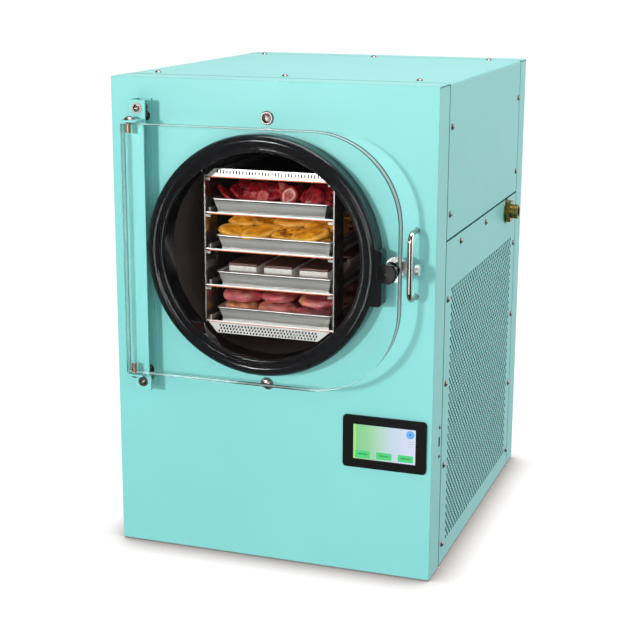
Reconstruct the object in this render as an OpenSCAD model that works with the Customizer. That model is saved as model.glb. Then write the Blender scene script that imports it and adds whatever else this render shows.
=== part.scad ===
// Small freeze dryer: sheet-metal cabinet, round vacuum chamber with a clear swing door and a tray rack.
// Frame: X to the right, Y to the rear, Z up. The origin is on the floor under the middle of the cabinet.

/* [Cabinet] */
// Width of the cabinet
body_w = 457; // [450:1:465]
// Depth of the cabinet, front panel to rear panel
body_d = 540; // [536:1:550]
// Height from the floor to the top
body_h = 665; // [660:1:680]
// Thickness of the panel sheet
sheet = 1.5; // [1.2:0.1:1.6]
// Depth of the folded edge of the front panel
front_return = 50; // [46:1:52]
// Depth of the folded edge of the rear panel
rear_return = 40; // [38:1:42]
// Gap at the panel seams
seam = 1.5; // [1:0.5:2]
// Height of the seam between the upper cover and the lower side panels
split_z = 458.5; // [458:0.5:460]
// Height of the rubber feet
foot_h = 2; // [2:0.5:6]
// Diameter of a foot
foot_d = 40; // [30:1:45]

/* [Side vent] */
// Spacing of the vent holes along a row
vent_pitch = 11.5; // [11.5:0.5:13]
// Diameter of a vent hole
vent_d = 5.6; // [4.5:0.1:5.8]

/* [Chamber] */
// Sideways place of the chamber axis
chamber_x = -3; // [-4:1:0]
// Height of the chamber axis
chamber_z = 437; // [435:1:439]
// Inner radius of the chamber
chamber_r = 140; // [140:0.5:141]
// Wall thickness of the chamber
chamber_t = 2; // [1.5:0.5:2]
// How far the chamber rim stands in front of the front panel
rim_h = 18; // [16:1:20]
// Outer radius of the rubber gasket
gasket_r = 162; // [160:0.5:163]
// How far the gasket stands in front of the front panel
gasket_h = 30.7; // [30:0.1:30.7]

/* [Door] */
// Thickness of the clear door
door_t = 19; // [18:0.5:20]
// Width of the door
door_w = 383; // [381:1:384]
// Height of the door
door_h = 340; // [338:1:341]
// Radius of the two corners at the latch side
door_corner_r = 118; // [100:1:122]
// Gap between the front panel and the back of the door
door_gap = 31; // [31:0.1:31.5]
// Sideways place of the hinge axis
hinge_x = -183; // [-184:0.5:-182]
// Diameter of a hinge pin
hinge_pin_d = 5; // [4:0.5:5.5]

/* [Latch] */
// Sideways place of the latch spindle
latch_x = 184; // [183:0.5:184]
// Diameter of the latch spindle
spindle_d = 7; // [6:0.5:7]
// Diameter of the round latch knob
knob_d = 27; // [24:1:28]
// Sideways place of the catch ring
ring_x = 202; // [201.5:0.5:203]
// Diameter of the catch ring's rod
ring_rod = 7; // [6.5:0.5:8]
// Distance between the legs of the catch ring
ring_span = 87; // [80:1:90]

/* [Rack] */
// Distance from one shelf to the next
shelf_pitch = 50; // [49:0.5:50]
// Width of the rack
rack_w = 185; // [180:1:185]
// Length of the rack
rack_l = 446; // [430:1:450]
// Width of a tray over its lips
tray_w = 168; // [160:1:170]
// Length of a tray over its lips
tray_l = 424; // [400:1:428]
// Height of a tray
tray_h = 17; // [14:1:18]

/* [Hidden] */
$fn = 64;

teal = "#8fd8d1";
steel = "#c9ccce";
rubber = "#1d1e20";
brass = "#b98c45";
copper = "#b87348";

front_y = -body_d / 2;
rear_y = body_d / 2;
side_x = body_w / 2;
cover_y0 = front_y + front_return + seam;
cover_y1 = rear_y - rear_return - seam;
base_z = foot_h;
drum_ro = chamber_r + chamber_t;
drum_y1 = 200;
drum_back = 3;
foam_ri = drum_ro + 6.5;
foam_ro = drum_ro + 24;
foam_y1 = drum_y1 + 24;
cradle_y = [-185, 96];
liquid_y = 120;
suction_y = -96;
flange_t = 3;
flange_r = 194;
bolt_r = 180;
coil_rod = 6;
coil_y = concat([-240, -204], [for (i = [0:7]) -132 + 36 * i]);
deck_z = 246;
foot_hole_d = 6.6;
deck_t = 2;
door_x0 = -191;
door_z0 = chamber_z - door_h / 2;
door_front = door_gap + door_t;
hinge_h = door_gap + door_t / 2;
flange_gap = 2.5;
bracket_t = 2.5;
bracket_front = 27;
bracket_x0 = -190;
bracket_w = 24;
bracket_z0 = chamber_z - 200;
bracket_z1 = chamber_z + 200;
bracket_screw_z = [chamber_z - 188, chamber_z + 189];
bracket_bolt_x = -177;
bracket_bolt_z = [chamber_z - 175, chamber_z, chamber_z + 177];
latch_z = chamber_z + 1;
ring_h = 31;
knob_out = 7.5;
port_y = 158;
port_z = chamber_z + 2;
port_d = 14;
port_overlap = 14;
drain_y = -150;
drain_z = 190;
drain_d = 12;
rack_y0 = -262;
rack_z0 = chamber_z - 101;
shelf_t = 1.5;
tray_y0 = rack_y0 + 9;
screen_x = 163.5;
screen_z = 189;
fan_y = -10;
fan_z = 128;
fan_x = 148;
cond_x = 176;
cond_w = 36;
cond_l = 281;
cond_y = -150;
cond_rows = 6;
tube_pitch = 32;
comp_x = -105;
comp_y = 110;
power_z = 60;
inlet_x = -150;
switch_x = -95;
side_screw_y = [-204, 218];
side_screw_z = [29, 145, 261, 378, 493, 608];
edge_screw_y = [-139, 14];
edge_screw_z = 446;
top_screw_x = [-196, -8, 180];
top_screw_y = [-190, 218];
usb_y = -231;
usb_z = 187;

// Placing: children are drawn with local Z pointing out of the named side.
// Front: local X, Y, Z are the world's X, Z and the height in front of the panel.
module on_front() {
  translate([0, front_y, 0]) rotate([90, 0, 0]) children();
}

// Right: local X, Y, Z are the world's Y, Z and the height out of the right side.
module on_right() {
  translate([side_x, 0, 0]) rotate([90, 0, 90]) children();
}

// Left: local X, Y, Z are the world's -Y, Z and the height out of the left side.
module on_left() {
  translate([-side_x, 0, 0]) rotate([90, 0, -90]) children();
}

// Rear: local X, Y, Z are the world's -X, Z and the height out of the rear.
module on_rear() {
  translate([0, rear_y, 0]) rotate([90, 0, 180]) children();
}

module round_rect(w, h, r) {
  square([w - 2 * r, h], center = true);
  square([w, h - 2 * r], center = true);
  for (x = [-1, 1], y = [-1, 1]) translate([x * (w / 2 - r), y * (h / 2 - r)]) circle(r);
}

module round_box(w, h, t, r) {
  linear_extrude(t) round_rect(w, h, r);
}

module dome(d, h) {
  big_r = (d * d / 4 + h * h) / (2 * h);
  intersection() {
    translate([0, 0, h - big_r]) sphere(big_r);
    cylinder(d = d, h = h);
  }
}

module tube(od, id, h) {
  difference() {
    cylinder(d = od, h = h);
    translate([0, 0, -1]) cylinder(d = id, h = h + 2);
  }
}

module elbow(bend_r, rod_d) {
  rotate_extrude(angle = 90) translate([bend_r, 0]) circle(d = rod_d);
}

// A cross-recessed pan screw, head up, with its seat at local zero.
module pan_screw(head_d, head_h, shank_d, shank_l) {
  difference() {
    dome(head_d, head_h);
    for (a = [0, 90]) rotate(a) translate([-head_d * 0.27, -0.6, head_h * 0.45])
      cube([head_d * 0.54, 1.2, head_h]);
  }
  translate([0, 0, -shank_l]) cylinder(d = shank_d, h = shank_l + 0.01);
}

module box_at(x, y, z) {
  translate([x[0], y[0], z[0]]) cube([x[1] - x[0], y[1] - y[0], z[1] - z[0]]);
}

// Cabinet shell

module pan(y0, y1, open_rear) {
  cut0 = open_rear ? y0 + sheet : y0 - 1;
  cut1 = open_rear ? y1 + 1 : y1 - sheet;
  difference() {
    box_at([-side_x, side_x], [y0, y1], [base_z, body_h]);
    box_at([-side_x + sheet, side_x - sheet], [cut0, cut1], [base_z + sheet, body_h - sheet]);
    for (s = [-1, 1]) translate([s * side_x, 0, body_h - sheet])
      box_at([-sheet - 0.2, sheet + 0.2], [max(cut0, y0 - 1), min(cut1, y1 + 1)], [-0.9, 0]);
  }
}

module front_panel() {
  color(teal) difference() {
    pan(front_y, front_y + front_return, true);
    on_front() {
      translate([chamber_x, chamber_z, -10]) cylinder(r = 147, h = 20, $fn = 128);
      for (s = [-1, 1]) translate([chamber_x, chamber_z + s * bolt_r, -10]) cylinder(d = 8.4, h = 20);
      for (z = bracket_bolt_z) translate([bracket_bolt_x, z, -10]) cylinder(d = 8.4, h = 20);
      for (z = bracket_screw_z) translate([bracket_x0 + bracket_w / 2, z, -10]) cylinder(d = 5.4, h = 20);
      for (s = [-1, 1]) translate([ring_x, latch_z + s * ring_span / 2, -10])
        cylinder(d = ring_rod + 0.4, h = 20);
      translate([screen_x, screen_z, -10]) round_box(102, 62, 20, 3);
    }
    on_right() translate([usb_y, usb_z, -5]) {
      round_box(7, 14, 10, 1);
      for (s = [-1, 1]) translate([0, s * 20.5, 0]) cylinder(d = 3.3, h = 10);
    }
  }
}

module rear_panel() {
  color(teal) difference() {
    pan(rear_y - rear_return, rear_y, false);
    on_rear() {
      for (i = [0:9], x = [-85, 85]) translate([x, 110 + i * 16, -5]) round_box(140, 7, 10, 3.4);
      translate([-inlet_x, power_z, -5]) round_box(28, 48, 10, 2);
      translate([-switch_x, power_z, -5]) round_box(21, 27, 10, 1);
    }
  }
}

module upper_cover() {
  corner = 3;
  color(teal) difference() {
    translate([0, cover_y1, 0]) rotate([90, 0, 0]) linear_extrude(cover_y1 - cover_y0) difference() {
      translate([0, body_h - 150]) round_rect(body_w, 300, corner);
      translate([0, body_h - 150]) round_rect(body_w - 2 * sheet, 300 - 2 * sheet, corner - sheet);
      translate([-body_w, split_z + seam / 2 - 200]) square([2 * body_w, 200]);
    }
    for (x = top_screw_x, y = top_screw_y) translate([x, y, body_h - 10]) cylinder(d = 4.3, h = 20);
    for (y = side_screw_y, z = [side_screw_z[4], side_screw_z[5]])
      translate([-body_w, y, z]) rotate([0, 90, 0]) cylinder(d = 4.3, h = 2 * body_w);
  }
}

module side_sheet() {
  difference() {
    translate([cover_y0, base_z, -sheet])
      cube([cover_y1 - cover_y0, split_z - seam / 2 - base_z, sheet]);
    for (y = side_screw_y, i = [0:3]) translate([y, side_screw_z[i], -5]) cylinder(d = 4.3, h = 10);
    for (y = edge_screw_y) translate([y, edge_screw_z, -5]) cylinder(d = 4.3, h = 10);
  }
}

module vent_holes(y0, z0, y_span, z_span) {
  rows = floor(z_span / vent_pitch * 2);
  cols = floor(y_span / vent_pitch);
  for (r = [0:rows], c = [0:cols - r % 2])
    translate([y0 + (c + (r % 2) / 2) * vent_pitch, z0 + r * vent_pitch / 2]) circle(d = vent_d, $fn = 24);
}

module right_lower_panel() {
  color(teal) on_right() translate([0, 0, -sheet]) linear_extrude(sheet) difference() {
    translate([cover_y0, base_z]) square([cover_y1 - cover_y0, split_z - seam / 2 - base_z]);
    for (y = side_screw_y, i = [0:3]) translate([y, side_screw_z[i]]) circle(d = 4.3);
    for (y = edge_screw_y) translate([y, edge_screw_z]) circle(d = 4.3);
    translate([port_y, port_z]) circle(d = 23.4);
    vent_holes(-182, 31, 386, 362);
  }
}

module left_lower_panel() {
  color(teal) difference() {
    mirror([1, 0, 0]) on_right() side_sheet();
    on_left() translate([-drain_y, drain_z, -5]) cylinder(d = 16.4, h = 10);
  }
}

module base_pan() {
  lip = 12;
  color(teal) difference() {
    box_at([-side_x + 2, side_x - 2], [front_y + 52, rear_y - 42], [base_z, base_z + lip]);
    box_at([-side_x + 3.5, side_x - 3.5], [front_y + 53.5, rear_y - 43.5], [base_z + 2, base_z + lip + 1]);
    at_feet() cylinder(d = foot_hole_d, h = 20);
  }
}

// Four corner angles, a side rail and a deck rail on each side, and two top strips, each butted to its neighbours.
module cabinet_frame() {
  t = 2;
  leg = 22;
  gap = 0.2;
  x1 = side_x - sheet;
  y0 = cover_y0 + 1;
  y1 = cover_y1 - 1;
  z1 = body_h - sheet;
  rail_z = 441;
  relief = 1.6;
  color("#9aa0a3") difference() {
    union() {
      for (sx = [-1, 1], sy = [0, 1]) {
        y = sy == 0 ? y0 : y1 - leg;
        yw = sy == 0 ? y0 : y1 - t;
        box_at(sx > 0 ? [x1 - t, x1] : [-x1, -x1 + t], [y, y + leg], [base_z + 12, z1 - t - gap]);
        box_at(sx > 0 ? [x1 - leg, x1] : [-x1, -x1 + leg], [yw, yw + t], [base_z + 12, z1 - t - gap]);
      }
      for (sx = [-1, 1]) {
        y = [y0 + leg + gap, y1 - leg - gap];
        box_at(sx > 0 ? [x1 - t, x1] : [-x1, -x1 + t], y, [rail_z, rail_z + 24]);
        box_at(sx > 0 ? [x1 - leg, x1] : [-x1, -x1 + leg], y, [rail_z + 24 - t, rail_z + 24]);
        box_at(sx > 0 ? [x1 - leg, x1 - t - gap] : [-x1 + t + gap, -x1 + leg], [y0 + t + gap, y1 - t - gap],
          [deck_z - t, deck_z]);
      }
      box_at([-x1, x1], [y0, y0 + 40], [z1 - t, z1]);
      box_at([-x1, x1], [y1 - leg, y1], [z1 - t, z1]);
    }
    translate([0, port_y, port_z]) rotate([0, 90, 0]) cylinder(d = 44, h = body_w);
    for (sx = [-1, 1]) translate([sx * x1, 0, z1])
      box_at([-relief, relief], [front_y, rear_y], [-relief, relief]);
    for (x = top_screw_x, y = top_screw_y) translate([x, y, body_h - 10]) cylinder(d = 4.1, h = 20);
    for (y = side_screw_y, z = side_screw_z) translate([-body_w, y, z]) rotate([0, 90, 0])
      cylinder(d = 4.1, h = 2 * body_w);
    for (y = edge_screw_y) translate([-body_w, y, edge_screw_z]) rotate([0, 90, 0])
      cylinder(d = 4.1, h = 2 * body_w);
  }
}

module deck() {
  x1 = side_x - sheet - 2.5;
  color("#9aa0a3") difference() {
    box_at([-x1, x1], [cover_y0 + 4, cover_y1 - 4], [deck_z, deck_z + deck_t]);
    for (y = [drain_y, liquid_y, suction_y]) translate([chamber_x, y, deck_z - 5]) cylinder(d = 20, h = 20);
  }
}

module at_feet() {
  for (x = [-1, 1], y = [-1, 1]) translate([x * (side_x - 45), y * (rear_y - 75), 0]) children();
}

// Ring-shaped feet. A bolt through each one can hold the unit to a cart.
module feet() {
  color(rubber) at_feet() tube(foot_d, foot_hole_d, foot_h);
}

module panel_screws() {
  color(steel) {
    for (x = top_screw_x, y = top_screw_y) translate([x, y, body_h]) pan_screw(9.5, 3, 4, 6);
    for (y = side_screw_y, z = side_screw_z) {
      on_right() translate([y, z, 0]) pan_screw(9.5, 3, 4, 6);
      on_left() translate([-y, z, 0]) pan_screw(9.5, 3, 4, 6);
    }
    for (y = edge_screw_y) {
      on_right() translate([y, edge_screw_z, 0]) pan_screw(9.5, 3, 4, 6);
      on_left() translate([-y, edge_screw_z, 0]) pan_screw(9.5, 3, 4, 6);
    }
  }
}

// Chamber

module on_axis(y) {
  translate([chamber_x, y, chamber_z]) rotate([-90, 0, 0]) children();
}

module port_hole(d) {
  translate([0, port_y, port_z]) rotate([0, 90, 0]) cylinder(d = d, h = body_w);
}

module drain_hole(d) {
  translate([chamber_x, drain_y, deck_z - 20]) cylinder(d = d, h = chamber_z - deck_z);
}

// The drum, its bolting flange and its vacuum pipe are one welded piece.
module chamber_drum() {
  y0 = front_y - rim_h;
  color("#2b2c2e") difference() {
    union() {
      on_axis(y0) cylinder(r = drum_ro, h = drum_y1 + drum_back - y0, $fn = 128);
      on_axis(front_y + sheet) cylinder(r = flange_r, h = flange_t, $fn = 128);
      translate([chamber_x + drum_ro - 12, port_y, port_z]) rotate([0, 90, 0])
        cylinder(d = port_d, h = side_x - port_overlap - chamber_x - drum_ro + 12);
    }
    on_axis(y0 - 1) cylinder(r = chamber_r, h = drum_y1 - y0 + 1, $fn = 128);
    port_hole(port_d - 3);
    drain_hole(drain_d);
    for (s = [-1, 1]) on_front() translate([chamber_x, chamber_z + s * bolt_r, -20]) cylinder(d = 8.4, h = 30);
    on_front() translate([bracket_bolt_x, chamber_z, -20]) cylinder(d = 8.4, h = 30);
  }
}

module chamber_bolts() {
  color(steel) for (s = [-1, 1]) on_front() translate([chamber_x, chamber_z + s * bolt_r, 0]) {
    difference() {
      cylinder(d1 = 19, d2 = 16, h = 3);
      translate([0, 0, 1.5]) cylinder(d = 13, h = 3);
      translate([0, 0, -1]) cylinder(d = 8, h = 5);
    }
    difference() {
      union() {
        translate([0, 0, 1.5]) cylinder(d = 12.6, h = 2.5);
        translate([0, 0, 4]) dome(12.6, 1.4);
        translate([0, 0, -14]) cylinder(d = 8, h = 16);
      }
      translate([0, 0, 2.2]) cylinder(d = 6.6, h = 8, $fn = 6);
    }
  }
}

module chamber_cradle() {
  color("#9aa0a3") for (y = cradle_y) difference() {
    box_at([chamber_x - 125, chamber_x + 125], [y, y + 4], [deck_z + deck_t, chamber_z - 85]);
    on_axis(y - 5) cylinder(r = foam_ro, h = 20, $fn = 128);
    drain_hole(20);
  }
}

module insulation() {
  color("#d9d3b8") difference() {
    on_axis(front_y + sheet + flange_t) cylinder(r = foam_ro, h = foam_y1 - front_y - sheet - flange_t, $fn = 128);
    on_axis(front_y) cylinder(r = foam_ri, h = drum_y1 + drum_back - front_y, $fn = 128);
    port_hole(port_d);
    drain_hole(drain_d);
    for (y = [liquid_y, suction_y]) translate([chamber_x, y, deck_z]) cylinder(d = coil_rod, h = 60);
  }
}

module evaporator_coil() {
  color(copper) for (y = coil_y) on_axis(y)
    rotate_extrude($fn = 128) translate([drum_ro + coil_rod / 2, 0]) circle(d = coil_rod);
}

module gasket() {
  bead = 9;
  lip = 4;
  color(rubber) union() {
    difference() {
      on_front() translate([chamber_x, chamber_z, 0]) rotate_extrude($fn = 128) {
        translate([drum_ro, 0]) square([gasket_r - drum_ro, gasket_h - bead]);
        translate([gasket_r - bead, gasket_h - bead]) circle(bead);
        translate([chamber_r - 1.6, rim_h]) square([gasket_r - 2 * bead - chamber_r + 10, lip]);
        translate([chamber_r - 1.6 + lip, rim_h + lip]) circle(lip);
        translate([chamber_r - 1.6, rim_h - 24]) square([1.6, 25]);
      }
      on_axis(front_y - rim_h) cylinder(r = drum_ro, h = 40, $fn = 128);
    }
    difference() {
      on_front() translate([154.5, 421, 8]) round_box(22, 74, 20, 5);
      on_axis(front_y - 60) cylinder(r = gasket_r - 4, h = 80, $fn = 128);
    }
    on_front() difference() {
      translate([chamber_x, chamber_z, rim_h - 24]) cylinder(r = chamber_r, h = 24.5, $fn = 128);
      translate([chamber_x, chamber_z, -30]) cylinder(r = chamber_r - 1.6, h = 90, $fn = 128);
    }
  }
}

// Rack

module rack_frame() {
  bar = 40;
  tab = 8;
  color(steel) intersection() {
    on_axis(rack_y0 - 1) cylinder(r = chamber_r - 0.3, h = rack_l + 2, $fn = 128);
    for (s = [-1, 1], y = [rack_y0, rack_y0 + (rack_l - bar) / 2, rack_y0 + rack_l - bar])
      translate([chamber_x + s * (rack_w / 2 - shelf_t / 2), 0, 0]) union() {
        box_at([-shelf_t / 2, shelf_t / 2], [y, y + bar], [rack_z0 - 6, rack_z0 + 4 * shelf_pitch + shelf_t]);
        if (y == rack_y0) for (i = [1:4]) translate([-s * tab / 2, 0, rack_z0 + i * shelf_pitch])
          box_at([-tab / 2, tab / 2], [y, y + 1.5], [-5.5, -2]);
      }
  }
}

module shelf_plates() {
  w = rack_w / 2 - shelf_t;
  hem = 5;
  color(steel) for (i = [0:4]) {
    z = rack_z0 + i * shelf_pitch;
    union() {
      box_at([chamber_x - w, chamber_x + w], [rack_y0 + 1, rack_y0 + rack_l - 1], [z, z + shelf_t]);
      for (s = [-1, 1]) translate([chamber_x + s * (w - shelf_t / 2), 0, 0])
        box_at([-shelf_t / 2, shelf_t / 2], [rack_y0 + 15, rack_y0 + rack_l - 15], [z, z + hem]);
    }
  }
}

module heater_mats() {
  mat_t = 1.6;
  w = rack_w / 2 - 5;
  color("#c65a2c") for (i = [0:4]) {
    z = rack_z0 + i * shelf_pitch;
    box_at([chamber_x - w, chamber_x + w], [rack_y0 + 2, rack_y0 + rack_l - 8], [z - mat_t, z]);
  }
}

// Two tapered perforated lips: one leans down from the lowest shelf, one rises from the top shelf.
module rack_baffle() {
  top_w = rack_w - 10;
  far_w = rack_w - 40;
  drop = 14;
  rise = 9;
  color(steel) translate([chamber_x, rack_y0 + 1, 0]) {
    translate([0, 0, rack_z0]) rotate([62, 0, 0]) translate([0, 0, 0.2]) linear_extrude(1.2) difference() {
      polygon([[-top_w / 2, -1.5], [top_w / 2, -1.5], [far_w / 2, -drop - 1.5], [-far_w / 2, -drop - 1.5]]);
      for (r = [0:2], i = [-15:15]) translate([i * 4.6 + (r % 2) * 2.3 - 2.2, -6.6 - r * 3.9]) square([2.1, 3]);
    }
    translate([0, 1.5, rack_z0 + 4 * shelf_pitch + shelf_t]) rotate([80, 0, 0]) linear_extrude(1.2) difference() {
      polygon([[-top_w / 2, 0], [top_w / 2, 0], [far_w / 2 + 6, rise], [-far_w / 2 - 6, rise]]);
      for (i = [-16:16]) translate([i * 4.6 - 1, 2]) square([2, 5]);
    }
  }
}

// A sheet tray with sloped walls and a flat lip.
module tray(i, shift) {
  z = rack_z0 + i * shelf_pitch + shelf_t;
  wall = 1;
  slope = 4.5;
  lip = 3;
  w = tray_w / 2;
  color("#bfc2c4") translate([chamber_x + shift, 0, z]) difference() {
    intersection() {
      translate([0, tray_y0 + tray_l, 0]) rotate([90, 0, 0]) linear_extrude(tray_l)
        polygon([[-w + lip + slope, 0], [w - lip - slope, 0], [w - lip, tray_h - wall], [w, tray_h - wall],
          [w, tray_h], [-w, tray_h], [-w, tray_h - wall], [-w + lip, tray_h - wall]]);
      translate([0, tray_y0 + tray_l / 2, -1]) round_box(tray_w, tray_l, tray_h + 2, 6);
    }
    translate([0, tray_y0 + tray_l - lip - slope, 0]) rotate([90, 0, 0]) linear_extrude(tray_l - 2 * lip - 2 * slope)
      polygon([[-w + lip + slope + wall, wall], [w - lip - slope - wall, wall], [w - lip - wall, tray_h + 1],
        [-w + lip + wall, tray_h + 1]]);
    for (s = [0, 1]) translate([-w - 1, tray_y0 + s * tray_l, 0]) mirror([0, s, 0]) rotate([90, 0, 90])
      linear_extrude(2 * w + 2)
        polygon([[-1, -1], [lip + slope, -1], [lip + slope, 0], [lip, tray_h - wall], [-1, tray_h - wall]]);
  }
}

module tray_1() {
  tray(3, -3);
}

module tray_2() {
  tray(2, 3);
}

module tray_3() {
  tray(1, 3);
}

module tray_4() {
  tray(0, 3);
}

module on_tray(i, shift) {
  translate([chamber_x + shift, tray_y0 + 14, rack_z0 + i * shelf_pitch + shelf_t + 1]) children();
}

module strawberry_slices() {
  color("#a51d2a") on_tray(3, -3) for (c = [-2:2], r = [0:12])
    translate([c * 28, 15 + r * 30, 0]) cylinder(d1 = 24, d2 = 14, h = 24);
}

module yellow_slices() {
  color("#e7a323") on_tray(2, 3) for (c = [-1:1], r = [0:9])
    translate([c * 46, 20 + r * 39, 0]) {
      cylinder(d = 38, h = 12);
      translate([0, 0, 12]) cylinder(d = 34, h = 12);
    }
}

module sandwich_bars() {
  color("#efe6dc") on_tray(1, 3) for (x = [-54, -2, 49], r = [0:3])
    translate([x - 21, 10 + r * 96, 0]) cube([42, 84, 24]);
}

module meat_slices() {
  color("#b4585c") on_tray(0, 3) for (c = [-1:1], r = [0:6])
    translate([c * 47, 25 + r * 56, 0]) cylinder(d1 = 44, d2 = 36, h = 32);
}

// Hinge and door

module hinge_bracket() {
  t = bracket_t;
  z0 = door_z0 - flange_gap - t;
  z1 = door_z0 + door_h + flange_gap;
  color(teal) difference() {
    on_front() union() {
      translate([bracket_x0, bracket_z0, bracket_front - t]) cube([bracket_w, bracket_z1 - bracket_z0, t]);
      translate([bracket_x0, bracket_z0, 0]) cube([t, bracket_z1 - bracket_z0, bracket_front]);
      translate([bracket_x0, bracket_z0, 0]) cube([22, bracket_z1 - bracket_z0, t]);
      for (z = [z0, z1]) translate([door_x0, z, bracket_front - t]) cube([23, t, door_front - bracket_front + t]);
    }
    on_front() {
      for (z = bracket_screw_z) translate([bracket_x0 + bracket_w / 2, z, -5]) cylinder(d = 5.4, h = 50);
      for (z = bracket_bolt_z) translate([bracket_bolt_x, z, -5]) cylinder(d = 8.4, h = 15);
    }
    translate([hinge_x, front_y - hinge_h, z0 - 5]) cylinder(d = hinge_pin_d, h = door_h + 20);
  }
}

module hinge_screws() {
  color(steel) for (z = bracket_screw_z) on_front() translate([bracket_x0 + bracket_w / 2, z, bracket_front]) {
    union() {
      cylinder(d = 14, h = 1);
      translate([0, 0, 0.9]) pan_screw(10, 3, 5, 38);
    }
    translate([0, 0, bracket_t - bracket_front]) tube(9.5, 5.6, bracket_front - 2 * bracket_t);
  }
}

module bracket_bolts() {
  color(rubber) for (z = bracket_bolt_z) on_front() translate([bracket_bolt_x, z, bracket_t]) difference() {
    union() {
      dome(14, 5);
      translate([0, 0, -16]) cylinder(d = 8, h = 16.01);
    }
    translate([0, 0, 2.5]) cylinder(d = 5, h = 5, $fn = 6);
  }
}

module hinge_pins() {
  z1 = door_z0 + door_h + flange_gap + bracket_t;
  z0 = door_z0 - flange_gap - bracket_t;
  reach = flange_gap + bracket_t + 10;
  color(steel) translate([hinge_x, front_y - hinge_h, 0]) {
    translate([0, 0, z1]) pan_screw(15, 4.6, hinge_pin_d, reach);
    translate([0, 0, z0]) rotate([180, 0, 0]) pan_screw(15, 4.6, hinge_pin_d, reach);
  }
}

module hex_nuts() {
  spots = concat([for (s = [-1, 1]) [chamber_x, chamber_z + s * bolt_r, sheet + flange_t]],
    [for (z = bracket_bolt_z) [bracket_bolt_x, z, z == chamber_z ? sheet + flange_t : sheet]],
    [for (s = [-1, 1]) [ring_x, latch_z + s * ring_span / 2, sheet]]);
  color(steel) for (p = spots) on_front() translate([p[0], p[1], -p[2] - 6.5]) difference() {
    cylinder(d = 15, h = 6.5, $fn = 6);
    translate([0, 0, -1]) cylinder(d = 8, h = 9);
  }
}

module door_plate() {
  r = door_corner_r;
  x1 = door_x0 + door_w;
  color("#cfeeee", 0.35) difference() {
    on_front() translate([0, 0, door_gap]) linear_extrude(door_t) {
      translate([door_x0, door_z0]) square([door_w - r, door_h]);
      translate([x1 - r - 1, door_z0 + r]) square([r + 1, door_h - 2 * r]);
      for (z = [door_z0 + r, door_z0 + door_h - r]) translate([x1 - r, z]) circle(r, $fn = 128);
    }
    for (z = [door_z0 - 1, door_z0 + door_h - 12]) translate([hinge_x, front_y - hinge_h, z])
      cylinder(d = 8, h = 13);
    on_front() translate([latch_x, latch_z, 0]) cylinder(d = 10, h = 80);
  }
}

module door_bushings() {
  color(brass) for (z = [door_z0, door_z0 + door_h - 12]) translate([hinge_x, front_y - hinge_h, z])
    tube(8, hinge_pin_d + 0.1, 12);
}

// Latch

module catch_ring() {
  bend = 12;
  half = ring_span / 2;
  color(steel) on_front() translate([ring_x, latch_z, 0]) union() {
    translate([0, -half + bend, ring_h]) rotate([-90, 0, 0]) cylinder(d = ring_rod, h = ring_span - 2 * bend);
    for (s = [0, 1]) mirror([0, s, 0]) {
      translate([0, half, -16]) cylinder(d = ring_rod, h = 16 + ring_h - bend);
      translate([0, half - bend, ring_h - bend]) rotate([90, 0, 90]) elbow(bend, ring_rod);
    }
  }
}

// A short round stud lying on a stem behind the catch ring's bar.
module keeper_block() {
  w = 5;
  drop = 5;
  lift = 16;
  color(steel) on_front() translate([latch_x + 22, latch_z - drop, 0]) union() {
    translate([0, 0, lift]) rotate([0, 90, 0]) cylinder(d = 15, h = w);
    translate([0, -3.5, 0]) cube([w - 1.5, 7, lift]);
  }
}

module at_latch(h) {
  on_front() translate([latch_x, latch_z, h]) children();
}

module latch_bush() {
  color(brass) at_latch(0) difference() {
    union() {
      translate([0, 0, door_gap - 2]) cylinder(d = 15, h = 2);
      translate([0, 0, door_gap]) cylinder(d = 10, h = door_t + 1.8);
    }
    cylinder(d = spindle_d + 0.1, h = 80);
  }
}

module latch_collar() {
  color(steel) at_latch(door_front) union() {
    tube(22, 10, 2);
    translate([0, 0, 1.9]) tube(15, spindle_d + 0.2, knob_out - 2.1);
  }
}

module latch_spindle() {
  color(steel) at_latch(16) cylinder(d = spindle_d, h = door_front + knob_out + 9 - 16);
}

module latch_cam() {
  reach = 20;
  color(steel) at_latch(0) difference() {
    union() {
      translate([0, 0, 25]) cylinder(d = 27, h = 2.5);
      translate([0, 0, 17]) cylinder(d = 15, h = 9);
      translate([-6, -reach + 6, 17]) cube([12, reach - 6, 8]);
      translate([0, -reach + 6, 17]) cylinder(r = 6, h = 8);
    }
    cylinder(d = spindle_d, h = 60);
  }
}

module latch_knob() {
  r = knob_d / 2;
  color(rubber) at_latch(door_front + knob_out) difference() {
    rotate_extrude() {
      polygon([[0, 0], [7, 0], [7.5, 3], [r - 2, 10], [r, 12], [r, 17], [r - 1.5, 19], [0, 19.6]]);
    }
    translate([0, 0, -1]) cylinder(d = spindle_d, h = 10);
    for (a = [0:30:330]) rotate(a) translate([r + 0.6, 0, 7]) cylinder(d = 3.4, h = 14, $fn = 8);
  }
}

// Display and side port

module display_bezel() {
  color(rubber) on_front() translate([screen_x, screen_z, 0]) difference() {
    round_box(116, 73, 3, 5);
    translate([0, 0, -1]) round_box(87, 49, 6, 1);
  }
}

module display_screen() {
  color("#a9c9cf") on_front() translate([screen_x, screen_z, -6]) {
    round_box(100, 60, 6, 2);
    translate([0, 0, 5.9]) round_box(86.8, 48.8, 1.6, 1);
  }
}

module control_board() {
  color("#2f6b3c") on_front() translate([screen_x, screen_z, 0]) {
    translate([-52, -32, -16]) cube([104, 64, 1.6]);
    for (x = [-46, 46], y = [-27, 27]) translate([x, y, -14.4]) cylinder(d = 6, h = 8.4);
    translate([-30, -15, -20]) cube([26, 26, 4]);
    translate([12, -20, -24]) cube([30, 14, 8]);
  }
}

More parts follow.
